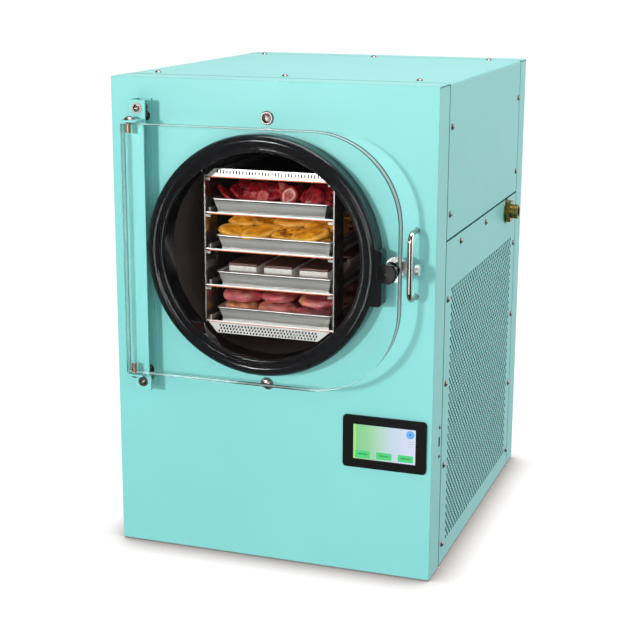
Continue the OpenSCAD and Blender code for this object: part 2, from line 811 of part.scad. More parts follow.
module usb_port() {
  color("#3a3c3e") on_right() translate([usb_y, usb_z, -sheet]) difference() {
    union() {
      translate([0, 0, -12]) round_box(8.6, 48, 1.6, 1);
      translate([0, 0, -10.5]) round_box(6.8, 13.8, 10.5 + sheet, 0.9);
      for (s = [-1, 1]) translate([0, s * 20.5, -10.4]) cylinder(d = 6, h = 10.4);
    }
    translate([0, 0, -8]) round_box(5.4, 12.4, 12, 0.5);
    for (s = [-1, 1]) translate([0, s * 20.5, -5]) cylinder(d = 3, h = 10);
  }
}

module usb_screws() {
  color(steel) on_right() for (s = [-1, 1]) translate([usb_y, usb_z + s * 20.5, 0]) pan_screw(6, 2, 3, 6);
}

// Vacuum port

module vacuum_fitting() {
  color(brass) on_right() translate([port_y, port_z, 0]) difference() {
    union() {
      translate([0, 0, -28]) cylinder(d = 23, h = 37);
      translate([0, 0, 9]) cylinder(d = 22, h = 10);
      translate([0, 0, -10]) cylinder(d = 34, h = 10 - sheet);
    }
    translate([0, 0, -30]) cylinder(d = port_d + 0.1, h = 30);
    translate([0, 0, -port_overlap]) cylinder(d = 16, h = 40);
  }
}

module fitting_nut() {
  color(brass) on_right() translate([port_y, port_z, 0]) {
    tube(38, 23, 1.6);
    translate([0, 0, 1.6]) difference() {
      cylinder(d = 36, h = 7, $fn = 6);
      translate([0, 0, -1]) cylinder(d = 23, h = 10);
    }
  }
}

// Refrigeration

module compressor_can() {
  translate([comp_x, comp_y, base_z + 2]) {
    translate([0, 0, 22]) cylinder(d = 150, h = 130);
    translate([0, 0, 152]) dome(150, 30);
    translate([-70, -70, 14]) cube([140, 140, 9]);
    for (x = [-55, 55], y = [-55, 55]) translate([x, y, 0]) cylinder(d = 22, h = 15);
    translate([60, -25, 60]) cube([30, 50, 60]);
  }
}

module compressor() {
  color(rubber) union() compressor_can();
}

module condenser() {
  fins = 29;
  edge = 5;
  tube_d = 9;
  color("#a9abad") translate([cond_x, cond_y, base_z + 2]) difference() {
    union() {
      translate([edge, 0, 24]) cube([cond_w - 2 * edge, cond_l, 200]);
      for (i = [0:fins - 1]) translate([0, i * 10, 24]) cube([cond_w, 1, 200]);
      for (y = [-6, cond_l + 2]) translate([0, y, 0]) cube([cond_w, 4, 224]);
      for (z = [24, 222]) translate([0, -6, z]) cube([cond_w, cond_l + 12, 2]);
    }
    for (r = [0:cond_rows - 1]) translate([cond_w / 2, -10, 46 + r * tube_pitch]) rotate([-90, 0, 0])
      cylinder(d = tube_d, h = cond_l + 20);
  }
  color(copper) translate([cond_x + cond_w / 2, cond_y, base_z + 2]) union() {
    for (r = [0:cond_rows - 1]) translate([0, -8, 46 + r * tube_pitch]) rotate([-90, 0, 0])
      cylinder(d = tube_d, h = cond_l + 16);
    for (r = [0:cond_rows - 2]) translate([0, r % 2 == 0 ? -8 : cond_l + 8, 46 + (r + 0.5) * tube_pitch])
      rotate([0, -90, 0]) rotate(r % 2 == 0 ? 180 : 0) rotate_extrude(angle = 180) translate([tube_pitch / 2, 0])
        circle(d = tube_d);
  }
}

module fan_guard() {
  color("#2a2c2e") translate([fan_x, fan_y, fan_z]) rotate([0, 90, 0]) difference() {
    union() {
      translate([0, 0, 14]) difference() {
        round_box(196, 240, 2, 6);
        translate([0, 0, -1]) cylinder(d = 184, h = 6);
      }
      for (y = [-100, 80]) translate([90, y, 14]) cube([fan_z - base_z - 92, 20, 2]);
      for (a = [45, 135]) rotate(a) translate([-112, -5, 13]) cube([224, 10, 2]);
      translate([0, 0, -44]) cylinder(d = 56, h = 32);
      for (a = [45:90:315]) rotate(a) translate([96, -5, -24]) cube([8, 10, 38]);
      for (a = [45:90:315]) rotate(a) translate([20, -5, -24]) cube([82, 10, 6]);
    }
    translate([0, 0, 8]) cylinder(d = 64, h = 20);
    translate([0, 0, -30]) cylinder(d = 8.1, h = 40);
  }
}

module fan_rotor() {
  color("#6f7376") translate([fan_x, fan_y, fan_z]) rotate([0, 90, 0]) union() {
    translate([0, 0, -28]) cylinder(d = 8, h = 24);
    translate([0, 0, -7]) cylinder(d = 44, h = 14);
    for (a = [0:72:288]) rotate(a) rotate([22, 0, 0]) translate([18, -20, -1]) cube([68, 40, 2]);
  }
}

// A round tube of diameter d through the points p, with a ball at each bend.
module pipe_run(p, d) {
  for (i = [0:len(p) - 2]) {
    v = p[i + 1] - p[i];
    l = norm(v);
    translate(p[i]) rotate([0, acos(v[2] / l), atan2(v[1], v[0])]) cylinder(d = d, h = l);
    if (i > 0) translate(p[i]) sphere(d = d * 1.2);
  }
}

module refrigerant_lines() {
  tube_x = cond_x + cond_w / 2;
  y_end = cond_y + cond_l + 8;
  low_z = base_z + 48;
  high_z = low_z + (cond_rows - 1) * tube_pitch;
  back_y = 200;
  run_z = 226;
  drier_x = 140;
  drier_y = 174;
  coil_z = chamber_z - drum_ro - coil_rod;
  color(copper) difference() {
    union() {
      pipe_run([[comp_x + 40, comp_y + 40, 150], [comp_x + 40, comp_y + 40, run_z], [comp_x + 40, back_y, run_z],
        [tube_x, back_y, run_z], [tube_x, back_y, high_z], [tube_x, y_end, high_z]], 8);
      pipe_run([[tube_x, y_end, low_z], [tube_x, drier_y, low_z], [drier_x, drier_y, low_z],
        [drier_x, drier_y, low_z + 20]], 8);
      translate([drier_x, drier_y, low_z + 20]) cylinder(d = 28, h = 90);
      pipe_run([[drier_x, drier_y, low_z + 110], [drier_x, drier_y, 236], [chamber_x, drier_y, 236],
        [chamber_x, liquid_y, 236], [chamber_x, liquid_y, coil_z]], coil_rod);
      pipe_run([[chamber_x, suction_y, coil_z], [chamber_x, suction_y, 236], [comp_x, suction_y, 236],
        [comp_x, comp_y - 40, 236], [comp_x, comp_y - 40, 150]], coil_rod);
    }
    compressor_can();
  }
}

// Drain

module drain_tube() {
  color(steel) difference() {
    union() {
      translate([chamber_x, drain_y, drain_z]) cylinder(d = drain_d, h = chamber_z - drain_z - 100);
      translate([chamber_x, drain_y, drain_z]) rotate([0, -90, 0]) cylinder(d = drain_d, h = side_x - 14 + chamber_x);
      translate([chamber_x, drain_y, drain_z]) sphere(d = drain_d + 2);
    }
    translate([chamber_x, drain_y, drain_z]) cylinder(d = 8, h = 200);
    translate([chamber_x, drain_y, drain_z]) rotate([0, -90, 0]) cylinder(d = 8, h = side_x);
    on_axis(drain_y - 20) cylinder(r = chamber_r, h = 40, $fn = 128);
  }
}

module drain_valve() {
  color(brass) on_left() translate([-drain_y, drain_z, 0]) difference() {
    union() {
      translate([0, 0, -26]) cylinder(d = 16, h = 30);
      cylinder(d = 26, h = 8, $fn = 6);
      translate([0, 0, 8]) cylinder(d = 20, h = 22);
      translate([0, 0, 30]) cylinder(d = 12, h = 10);
      translate([0, 0, 18]) rotate([-90, 0, 0]) cylinder(d = 12, h = 14);
    }
    translate([0, 0, -30]) cylinder(d = drain_d, h = 18);
    translate([0, 0, -20]) cylinder(d = 8, h = 70);
    translate([0, 0, 18]) rotate([-90, 0, 0]) translate([0, 0, 6]) cylinder(d = 6.1, h = 10);
  }
}

module drain_lever() {
  color("#a3232b") on_left() translate([-drain_y, drain_z, 18]) rotate([-90, 0, 0]) union() {
    translate([0, 0, 6.5]) cylinder(d = 6, h = 9);
    translate([0, 0, 15]) cylinder(d = 14, h = 3);
    translate([0, -5, 15]) cube([38, 10, 3]);
    translate([38, 0, 15]) cylinder(d = 10, h = 3);
  }
}

// Power

module at_inlet() {
  on_rear() translate([-inlet_x, power_z, 0]) children();
}

module at_switch() {
  on_rear() translate([-switch_x, power_z, 0]) children();
}

module power_inlet() {
  color(rubber) at_inlet() difference() {
    union() {
      round_box(31, 52, 2.5, 3);
      translate([0, 0, -26]) round_box(27.6, 47.6, 26.01, 2);
    }
    translate([0, 0, -18]) difference() {
      round_box(24, 17, 30, 3);
      for (x = [-7, 0, 7]) translate([x - 1, x == 0 ? -1 : 1, -1]) cube([2, 4, 14]);
    }
  }
}

module switch_frame() {
  color(rubber) at_switch() difference() {
    union() {
      round_box(25, 31, 2, 2);
      translate([0, 0, -20]) round_box(20.6, 26.6, 20.01, 1);
    }
    translate([0, 0, -14]) round_box(15, 23, 30, 1);
    translate([-9, 0, -6]) rotate([0, 90, 0]) cylinder(d = 3.1, h = 18);
  }
}

// The rocker turns about the world X axis, through its pivot pin.
module power_rocker() {
  color("#7d1a1c") at_switch() translate([0, 0, -6]) rotate([90, 0, 90]) {
    translate([0, 0, -6.8]) linear_extrude(13.6)
      polygon([[-9.5, 4.6], [0, 6.4], [9, 8.2], [10, 4], [4, -3], [-4, -3], [-10, 1.5]]);
    translate([0, 0, -8.8]) cylinder(d = 3, h = 17.6);
  }
}

front_panel();
rear_panel();
upper_cover();
right_lower_panel();
left_lower_panel();
base_pan();
cabinet_frame();
deck();
feet();
panel_screws();
chamber_drum();
chamber_bolts();
chamber_cradle();
insulation();
evaporator_coil();
gasket();
rack_frame();
shelf_plates();
heater_mats();
rack_baffle();
tray_1();
tray_2();
tray_3();
tray_4();
strawberry_slices();
yellow_slices();
sandwich_bars();
meat_slices();
hinge_bracket();
hinge_screws();
bracket_bolts();
hinge_pins();
hex_nuts();
door_plate();
door_bushings();
catch_ring();
keeper_block();
latch_bush();
latch_collar();
latch_spindle();
latch_cam();
latch_knob();
display_bezel();
display_screen();
control_board();
usb_port();
usb_screws();
vacuum_fitting();
fitting_nut();
compressor();
condenser();
fan_guard();
fan_rotor();
refrigerant_lines();
drain_tube();
drain_valve();
drain_lever();
power_inlet();
switch_frame();
power_rocker();
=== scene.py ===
import math
import random

import bmesh
import bpy
from mathutils import Matrix, Vector, noise


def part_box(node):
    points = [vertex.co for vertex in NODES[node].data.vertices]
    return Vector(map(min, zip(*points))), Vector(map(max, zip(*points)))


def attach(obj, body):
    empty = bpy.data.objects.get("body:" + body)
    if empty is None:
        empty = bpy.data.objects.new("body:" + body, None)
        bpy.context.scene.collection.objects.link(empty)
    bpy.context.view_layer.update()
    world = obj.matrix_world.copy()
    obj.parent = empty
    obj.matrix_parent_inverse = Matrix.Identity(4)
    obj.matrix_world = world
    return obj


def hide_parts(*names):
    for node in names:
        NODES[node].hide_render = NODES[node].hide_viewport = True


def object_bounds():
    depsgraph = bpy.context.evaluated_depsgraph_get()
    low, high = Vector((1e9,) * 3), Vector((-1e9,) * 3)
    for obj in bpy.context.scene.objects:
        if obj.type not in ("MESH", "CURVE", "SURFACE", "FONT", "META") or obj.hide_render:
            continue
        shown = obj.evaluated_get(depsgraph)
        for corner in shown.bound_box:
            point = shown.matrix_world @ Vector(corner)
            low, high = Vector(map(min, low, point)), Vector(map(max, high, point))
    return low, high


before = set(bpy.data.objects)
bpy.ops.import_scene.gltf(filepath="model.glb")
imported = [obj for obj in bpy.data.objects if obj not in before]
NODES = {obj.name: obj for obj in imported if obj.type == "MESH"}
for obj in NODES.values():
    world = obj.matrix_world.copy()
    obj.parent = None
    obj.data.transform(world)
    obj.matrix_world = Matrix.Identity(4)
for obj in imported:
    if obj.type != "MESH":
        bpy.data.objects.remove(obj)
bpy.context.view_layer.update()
MM = 1000.0                     # millimetres in a metre

# ---------------------------------------------------------------- camera

CAMERA_TURN = 19.4388           # degrees to the right of the front
CAMERA_RISE = 13.7080           # degrees above level
CAMERA_ROLL = 0.1859            # degrees
CAMERA_AT = (0.68384, -2.04585, 0.82366)
LENS, SENSOR = 84.49, 36.0      # millimetres
CLIP = (0.05, 100.0)


def make_camera():
    a, e, r = (math.radians(d) for d in (CAMERA_TURN, CAMERA_RISE, CAMERA_ROLL))
    back = Vector((math.sin(a) * math.cos(e), -math.cos(a) * math.cos(e), math.sin(e)))
    right = (-back).cross(Vector((0, 0, 1))).normalized()
    up = right.cross(-back)
    rolled_right = right * math.cos(r) + up * math.sin(r)
    rolled_up = up * math.cos(r) - right * math.sin(r)
    data = bpy.data.cameras.new("camera")
    data.lens = LENS
    data.sensor_width = SENSOR
    data.clip_start, data.clip_end = CLIP
    camera = bpy.data.objects.new("camera", data)
    bpy.context.scene.collection.objects.link(camera)
    pose = Matrix((rolled_right, rolled_up, back)).transposed().to_4x4()
    pose.translation = Vector(CAMERA_AT)
    camera.matrix_world = pose
    bpy.context.scene.camera = camera


make_camera()

# ---------------------------------------------------------------- node trees

NOISE_LOW, NOISE_HIGH = 0.3, 0.7    # noise seldom leaves this range


class Graph:
    """Short calls for building a node tree."""

    def __init__(self, tree):
        self.tree = tree

    def node(self, kind, **props):
        n = self.tree.nodes.new(kind)
        for key, value in props.items():
            setattr(n, key, value)
        return n

    def feed(self, socket, value):
        """Links an output to the socket, or gives the socket a plain value."""
        if isinstance(value, bpy.types.NodeSocket):
            self.tree.links.new(value, socket)
        else:
            socket.default_value = value

    def math(self, operation, *values):
        n = self.node("ShaderNodeMath", operation=operation)
        for socket, value in zip(n.inputs, values):
            self.feed(socket, value)
        return n.outputs["Value"]

    def mix_shaders(self, factor, first, second):
        n = self.node("ShaderNodeMixShader")
        for socket, value in zip(n.inputs, (factor, first, second)):
            self.feed(socket, value)
        return n.outputs["Shader"]


class Mat(Graph):
    """A material whose colour, roughness and surface all vary a little."""

    def __init__(self, name):
        self.m = bpy.data.materials.new(name)
        self.m.use_nodes = True
        super().__init__(self.m.node_tree)
        self.bsdf = self.tree.nodes["Principled BSDF"]
        self.coord = self.node("ShaderNodeTexCoord")

    def shader(self, **inputs):
        """Feeds the shader's own inputs, with _ for each space in their names."""
        for key, value in inputs.items():
            self.feed(self.bsdf.inputs[key.replace("_", " ")], value)

    def axis(self, coordinates, letter):
        """One axis of the "Object" or "Normal" coordinates."""
        n = self.node("ShaderNodeSeparateXYZ")
        self.feed(n.inputs["Vector"], self.coord.outputs[coordinates])
        return n.outputs[letter]

    def noise(self, scale, detail=3.0, rough=0.55, stretch=(1, 1, 1)):
        place = self.node("ShaderNodeMapping")
        place.inputs["Scale"].default_value = stretch
        self.feed(place.inputs["Vector"], self.coord.outputs["Object"])
        n = self.node("ShaderNodeTexNoise")
        n.inputs["Scale"].default_value = scale
        n.inputs["Detail"].default_value = detail
        n.inputs["Roughness"].default_value = rough
        self.feed(n.inputs["Vector"], place.outputs["Vector"])
        return n.outputs["Fac"]

    def ramp(self, value, stops):
        n = self.node("ShaderNodeValToRGB")
        elements = n.color_ramp.elements
        while len(elements) < len(stops):
            elements.new(0.5)
        for element, (position, colour) in zip(elements, stops):
            element.position = position
            element.color = (*colour, 1)
        self.feed(n.inputs["Fac"], value)
        return n.outputs["Color"]

    def drift(self, value, first, second):
        """Runs from one colour to the other over the range that noise covers."""
        return self.ramp(value, [(NOISE_LOW, first), (NOISE_HIGH, second)])

    def remap(self, value, source=(0.0, 1.0), target=(0.0, 1.0)):
        n = self.node("ShaderNodeMapRange")
        for key, bound in zip(("From Min", "From Max", "To Min", "To Max"), (*source, *target)):
            n.inputs[key].default_value = bound
        self.feed(n.inputs["Value"], value)
        return n.outputs["Result"]

    def mix(self, factor, first, second, mode="MIX"):
        n = self.node("ShaderNodeMix", data_type="RGBA", blend_type=mode)
        for key, value in (("Factor", factor), ("A", first), ("B", second)):
            self.feed(n.inputs[key], value)
        return n.outputs["Result"]

    def bump(self, height, strength, distance):
        n = self.node("ShaderNodeBump")
        n.inputs["Strength"].default_value = strength
        n.inputs["Distance"].default_value = distance
        self.feed(n.inputs["Height"], height)
        self.shader(Normal=n.outputs["Normal"])
        return n


def shade(colour, k):
    return tuple(min(1.0, x * k) for x in colour)


def blend(first, second, t):
    t = max(0.0, min(1.0, t))
    return tuple(x + (y - x) * t for x, y in zip(first, second))


def srgb(code):
    """Linear colour from six hex digits."""
    values = [int(code[i:i + 2], 16) / 255 for i in (0, 2, 4)]
    return tuple(v / 12.92 if v <= 0.04045 else ((v + 0.055) / 1.055) ** 2.4 for v in values)


# ---------------------------------------------------------------- plain finishes

BRUSHED_ALONG_X = (1, 40, 40)       # stretch of the noise that draws brush lines
BRUSHED_ALONG_Z = (40, 40, 1)
FINER = 3.1                         # how much finer the roughness noise is than the colour noise


def simple(name, colour, rough, metallic=0.0, var=0.06, scale=30.0, grain=900.0, bump=0.05, depth=0.0002,
           stretch=(1, 1, 1), **inputs):
    """The colour drifts by var either way at the noise scale, rough is the range of the roughness, and grain is
    the noise scale of a bump that is depth metres deep."""
    t = Mat(name)
    t.shader(
        Base_Color=t.drift(t.noise(scale, 4.0, 0.6, stretch), shade(colour, 1 - var), shade(colour, 1 + var)),
        Roughness=t.remap(t.noise(scale * FINER, 3.0, 0.5, stretch), target=rough),
        Metallic=metallic, **inputs)
    t.bump(t.noise(grain, 2.0, 0.5, stretch), bump, depth)
    return t.m


def brushed(name, colour, rough, stretch=BRUSHED_ALONG_X, var=0.08, bump=0.12):
    return simple(name, colour, rough, metallic=1.0, var=var, scale=12.0, grain=60.0, bump=bump, depth=0.0001,
                  stretch=stretch)


def metal(name, colour, rough, **more):
    return simple(name, colour, rough, metallic=1.0, **more)


zinc = simple("zinc_plate", (0.52, 0.54, 0.55), (0.32, 0.5), metallic=0.9, var=0.12, scale=25.0, grain=300.0,
              bump=0.1)
steel = brushed("satin_stainless", (0.72, 0.72, 0.71), (0.24, 0.36))
steel_upright = brushed("satin_stainless_upright", (0.72, 0.72, 0.71), (0.22, 0.34), BRUSHED_ALONG_Z)
ring_steel = brushed("ring_stainless", (0.62, 0.54, 0.50), (0.14, 0.22), BRUSHED_ALONG_Z, var=0.06, bump=0.06)
baffle_steel = brushed("baffle_stainless", (0.50, 0.49, 0.475), (0.38, 0.5))
rack_steel = brushed("rack_stainless", (0.50, 0.485, 0.47), (0.2, 0.32), BRUSHED_ALONG_Z)
screw_steel = metal("screw_steel", (0.33, 0.27, 0.255), (0.24, 0.36), var=0.1, scale=200.0, grain=2500.0,
                    bump=0.06)
stud_steel = metal("stud_steel", (0.88, 0.87, 0.84), (0.42, 0.5), var=0.04, scale=90.0, grain=1500.0)
chrome = metal("chrome_trim", (0.34, 0.325, 0.32), (0.06, 0.12), var=0.03, scale=60.0, grain=800.0, bump=0.02)
copper = metal("drawn_copper", (0.78, 0.40, 0.24), (0.22, 0.42), var=0.14, bump=0.08)
bronze = metal("bearing_bronze", (0.66, 0.36, 0.20), (0.3, 0.45), var=0.12, scale=160.0, grain=1800.0,
               bump=0.1)
brass = metal("turned_brass", (0.31, 0.185, 0.05), (0.16, 0.28), var=0.14, scale=90.0, grain=1500.0,
              bump=0.08)
black_oxide = simple("black_oxide", (0.045, 0.045, 0.05), (0.28, 0.42), metallic=0.8, var=0.15, scale=90.0,
                     grain=1500.0, bump=0.08)
chamber_black = simple("chamber_coating", (0.085, 0.072, 0.068), (0.2, 0.3), var=0.2, scale=9.0, grain=1100.0,
                       bump=0.08, Specular_IOR_Level=0.45)
rubber = simple("gasket_rubber", (0.010, 0.010, 0.011), (0.055, 0.09), var=0.15, scale=14.0, grain=1700.0,
                bump=0.03, depth=0.0001, Specular_IOR_Level=0.5)
foot_rubber = simple("foot_rubber", (0.03, 0.03, 0.03), (0.7, 0.85), var=0.2, scale=80.0, grain=1800.0,
                     bump=0.3)
foam = simple("rigid_foam", (0.72, 0.65, 0.45), (0.8, 0.95), var=0.12, scale=40.0, grain=700.0, bump=0.6,
              depth=0.0008)
silicone = simple("heater_silicone", (0.62, 0.13, 0.03), (0.5, 0.65), var=0.12, scale=50.0, grain=1200.0,
                  bump=0.4)
plastic = simple("black_plastic", (0.004, 0.0036, 0.0042), (0.38, 0.5), var=0.15, scale=60.0, grain=1900.0,
                 bump=0.22, depth=0.0001, Specular_IOR_Level=0.15)
knob_gloss = simple("knob_gloss", (0.006, 0.006, 0.0065), (0.12, 0.2), var=0.2, scale=60.0, bump=0.03,
                    Specular_IOR_Level=0.25)
board_green = simple("circuit_board", (0.03, 0.17, 0.07), (0.3, 0.45), var=0.25, scale=350.0, grain=1400.0,
                     bump=0.2)
rocker_red = simple("rocker_red", (0.30, 0.012, 0.012), (0.18, 0.28), var=0.12, scale=90.0, bump=0.04)
vinyl_red = simple("lever_vinyl", (0.38, 0.02, 0.02), (0.3, 0.45), var=0.12, scale=90.0, bump=0.12)
can_black = simple("compressor_black", (0.02, 0.02, 0.022), (0.2, 0.34), var=0.2, scale=20.0, bump=0.1)
fin_black = simple("condenser_black", (0.02, 0.022, 0.022), (0.5, 0.65), var=0.2, scale=40.0, bump=0.2)
guard_black = simple("guard_black", (0.03, 0.03, 0.032), (0.4, 0.55), var=0.15, scale=40.0, bump=0.12)
fan_grey = simple("fan_grey", (0.20, 0.21, 0.22), (0.4, 0.55), var=0.1, scale=60.0, grain=1100.0, bump=0.12)

# ---------------------------------------------------------------- paint

TEAL = (0.228, 0.645, 0.622)
TEAL_DRIFT = 0.018
PAINT_ROUGH = (0.35, 0.41)
PAINT_SHEEN = 0.4
BEND_RADIUS = 0.0014                # metres; sharp bends are rounded by this in the shading
BEND_SAMPLES = 4
SEAM = 0.0013                       # metres; width of the dark line of painted shade along a sheet edge
SEAM_SHADE = (0.002, 0.105, 0.098)
WALL_TURN = 0.6                     # a face whose normal points less along X than this is the wall of a hole, painted in shade


def painted(name, seams=(), pierced=False):
    """Satin paint. seams lists (axis, position) of sheet edges along which a dark line of painted shade stands
    in for the shadow in the joint; on a pierced panel the walls of the holes are dark with painted shade too,
    and both lose the sheen."""
    t = Mat(name)
    colour = t.drift(t.noise(7.0, 4.0, 0.6), shade(TEAL, 1 - TEAL_DRIFT), shade(TEAL, 1 + TEAL_DRIFT))
    shade_masks = [t.math("LESS_THAN", t.math("ABSOLUTE", t.math("SUBTRACT", t.axis("Object", letter), at)), SEAM)
             for letter, at in seams]
    if pierced:
        shade_masks.append(t.math("LESS_THAN", t.math("ABSOLUTE", t.axis("Normal", "X")), WALL_TURN))
    sheen = PAINT_SHEEN
    # Painted shade: where a mask is set, the paint turns to SEAM_SHADE and loses its sheen
    if shade_masks:
        dark = shade_masks[0]
        for mask in shade_masks[1:]:
            dark = t.math("MAXIMUM", dark, mask)
        colour = t.mix(dark, colour, (*SEAM_SHADE, 1))
        sheen = t.remap(dark, target=(PAINT_SHEEN, 0.0))
    t.shader(Base_Color=colour, Roughness=t.remap(t.noise(21.7, 3.0, 0.5), target=PAINT_ROUGH),
             Specular_IOR_Level=sheen)
    bend = t.node("ShaderNodeBevel", samples=BEND_SAMPLES)
    bend.inputs["Radius"].default_value = BEND_RADIUS
    bump = t.bump(t.noise(1400.0, 2.0, 0.5), 0.05, 0.0001)
    t.feed(bump.inputs["Normal"], bend.outputs["Normal"])
    return t.m


def sheet_edges(node, *edges):
    """The positions of a node's own sheet edges: "y0" is its lowest y, "z1" its highest z, and so on."""
    low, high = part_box(node)
    return [(e[0].upper(), (high if e[1] == "1" else low)["xyz".index(e[0])]) for e in edges]


paint = painted("teal_satin")
cover_paint = painted("teal_satin_cover", sheet_edges("upper_cover", "y0", "y1", "z0"))
right_paint = painted("teal_satin_right", sheet_edges("right_lower_panel", "y0", "y1"), pierced=True)
left_paint = painted("teal_satin_left", sheet_edges("left_lower_panel", "y0", "y1"), pierced=True)

# ---------------------------------------------------------------- trays, shelves and door


def tray_finish(node):
    """Brushed aluminium with light and shade painted into its colour by height: a painted highlight along the
    rolled rim, a painted shadow just under it and painted shade that darkens it towards the floor.
    """
    low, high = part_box(node)
    t = Mat("aluminium_" + node)

    def below_rim(mm):
        return 1 - mm / MM / (high.z - low.z)

    # painted highlight on the rim's top, painted shadow under the rim, painted shade darker towards the floor
    painted_rim_light_and_shade = t.ramp(t.remap(t.axis("Object", "Z"), (low.z, high.z)), [
        (0.0, (0.48, 0.47, 0.45)), (0.5, (0.86, 0.845, 0.82)), (below_rim(3.4), (0.58, 0.57, 0.55)),
        (below_rim(2.6), (0.07, 0.066, 0.06)), (below_rim(1.7), (0.10, 0.096, 0.09)),
        (below_rim(1.2), (0.88, 0.87, 0.84))])
    lines = t.drift(t.noise(12.0, 5.0, 0.65, (1, 40, 60)), (0.74, 0.74, 0.74), (1, 1, 1))
    t.shader(Base_Color=t.mix(1.0, painted_rim_light_and_shade, lines, "MULTIPLY"), Metallic=1.0,
             Roughness=t.remap(t.noise(37.0, 3.0, 0.5, (1, 30, 30)), target=(0.32, 0.5)))
    t.bump(t.noise(60.0, 2.0, 0.5, BRUSHED_ALONG_X), 0.2, 0.0001)
    return t.m


SHELF_FLAT = 0.7                    # a face whose normal points more along Z than this is a broad face
SHELF_SATIN, SHELF_POLISH = 0.46, 0.07


def shelf_finish():
    """Stainless sheet: its broad faces are polished, its cut edges are satin and catch the light."""
    t = Mat("shelf_stainless")
    broad = t.math("GREATER_THAN", t.math("ABSOLUTE", t.axis("Normal", "Z")), SHELF_FLAT)
    polish = t.remap(broad, target=(SHELF_SATIN, SHELF_POLISH))
    t.shader(
        Base_Color=t.drift(t.noise(12.0, 4.0, 0.6, BRUSHED_ALONG_X), (0.56, 0.54, 0.52), (0.72, 0.70, 0.68)),
        Roughness=t.math("ADD", polish, t.remap(t.noise(60.0, 3.0), target=(0.0, 0.05))),
        Metallic=1.0)
    t.bump(t.noise(60.0, 2.0, 0.5, BRUSHED_ALONG_X), 0.06, 0.0001)
    return t.m


EDGE_TO_FACE = (0.5, 0.6)           # how far a normal points along Y where the plate's edge turns into its face
EDGE_CLEARNESS = 0.25               # share of lamp light that passes an edge face
EDGE_PAINT_SHARE = 0.5                         # share of the matt layer with painted highlight and shade on an edge face
EDGE_PAINTED_HIGHLIGHT = (0.80, 0.93, 0.92)
EDGE_PAINTED_SHADE = (0.015, 0.075, 0.075)


def acrylic_material():
    """Clear plate with a faint cast. Lamp light and bounced light pass straight through its two faces, and only
    its narrow edge faces hold lamp light back, so the edge draws a soft line of shadow. An edge face is a
    little frosted, and its matt layer carries a painted highlight along its middle and painted shade along both
    rims."""
    t = Mat("clear_acrylic")
    t.shader(Base_Color=t.drift(t.noise(9.0, 2.0), (0.955, 0.985, 0.98), (0.975, 0.995, 0.99)),
             Roughness=t.remap(t.noise(22.0, 4.0), target=(0.0, 0.03)),
             Transmission_Weight=1.0, IOR=1.30, Specular_IOR_Level=0.5)
    t.bump(t.noise(6.0, 1.0), 0.02, 0.0002)
    facing = t.math("ABSOLUTE", t.axis("Normal", "Y"))

    low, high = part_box("door_plate")
    off_middle = t.math("ABSOLUTE", t.math("SUBTRACT", t.axis("Object", "Y"), (low.y + high.y) / 2))
    to_rim = t.remap(off_middle, (0.0, (high.y - low.y) / 2))
    edge_paint = t.node("ShaderNodeBsdfDiffuse")
    # painted highlight along the middle of an edge face, painted shade along its rims
    t.feed(edge_paint.inputs["Color"], t.ramp(to_rim, [(0.35, EDGE_PAINTED_HIGHLIGHT), (0.72, EDGE_PAINTED_SHADE)]))
    solid = t.mix_shaders(t.remap(facing, EDGE_TO_FACE, (EDGE_PAINT_SHARE, 0.0)), t.bsdf.outputs["BSDF"],
                          edge_paint.outputs["BSDF"])

    path = t.node("ShaderNodeLightPath").outputs
    lamp = t.math("MULTIPLY", path["Is Shadow Ray"], t.remap(facing, EDGE_TO_FACE, (EDGE_CLEARNESS, 1.0)))
    passing = t.math("MAXIMUM", lamp, path["Is Diffuse Ray"])
    straight = t.node("ShaderNodeBsdfTransparent").outputs["BSDF"]
    t.feed(t.tree.nodes["Material Output"].inputs["Surface"], t.mix_shaders(passing, solid, straight))
    return t.m


# ---------------------------------------------------------------- finishes of the CAD nodes

SHARP_ANGLE = 32                    # degrees; edges above it stay sharp

FINISHES = (
    (paint, "front_panel", "rear_panel", "base_pan", "hinge_bracket"),
    (cover_paint, "upper_cover"),
    (right_paint, "right_lower_panel"),
    (left_paint, "left_lower_panel"),
    (zinc, "cabinet_frame", "deck", "chamber_cradle", "hex_nuts"),
    (screw_steel, "panel_screws", "chamber_bolts", "hinge_screws", "hinge_pins", "usb_screws"),
    (rack_steel, "rack_frame"),
    (shelf_finish(), "shelf_plates"),
    (baffle_steel, "rack_baffle"),
    (ring_steel, "catch_ring"),
    (stud_steel, "keeper_block"),
    (steel_upright, "latch_spindle", "latch_cam"),
    (steel, "drain_tube"),
    (chrome, "latch_collar"),
    (chamber_black, "chamber_drum"),
    (rubber, "gasket"),
    (foot_rubber, "feet"),
    (foam, "insulation"),
    (copper, "evaporator_coil", "refrigerant_lines"),
    (silicone, "heater_mats"),
    (black_oxide, "bracket_bolts"),
    (acrylic_material(), "door_plate"),
    (bronze, "door_bushings"),
    (brass, "latch_bush", "vacuum_fitting", "fitting_nut", "drain_valve"),
    (knob_gloss, "latch_knob"),
    (plastic, "display_bezel", "usb_port", "power_inlet", "switch_frame"),
    (board_green, "control_board"),
    (rocker_red, "power_rocker"),
    (vinyl_red, "drain_lever"),
    (can_black, "compressor"),
    (fin_black, "condenser"),
    (guard_black, "fan_guard"),
    (fan_grey, "fan_rotor"),
    *((tray_finish(tray), tray) for tray in ("tray_1", "tray_2", "tray_3", "tray_4")),
)


def dress(node, material):
    """Gives a CAD node its material and smooth shading that keeps its sharp edges."""
    mesh = NODES[node].data
    mesh.materials.clear()
    mesh.materials.append(material)
    for p in mesh.polygons:
        p.use_smooth = True
    mesh.set_sharp_from_angle(angle=math.radians(SHARP_ANGLE))


for material, *names in FINISHES:
    for name in names:
        dress(name, material)

# ---------------------------------------------------------------- helpers for new pieces


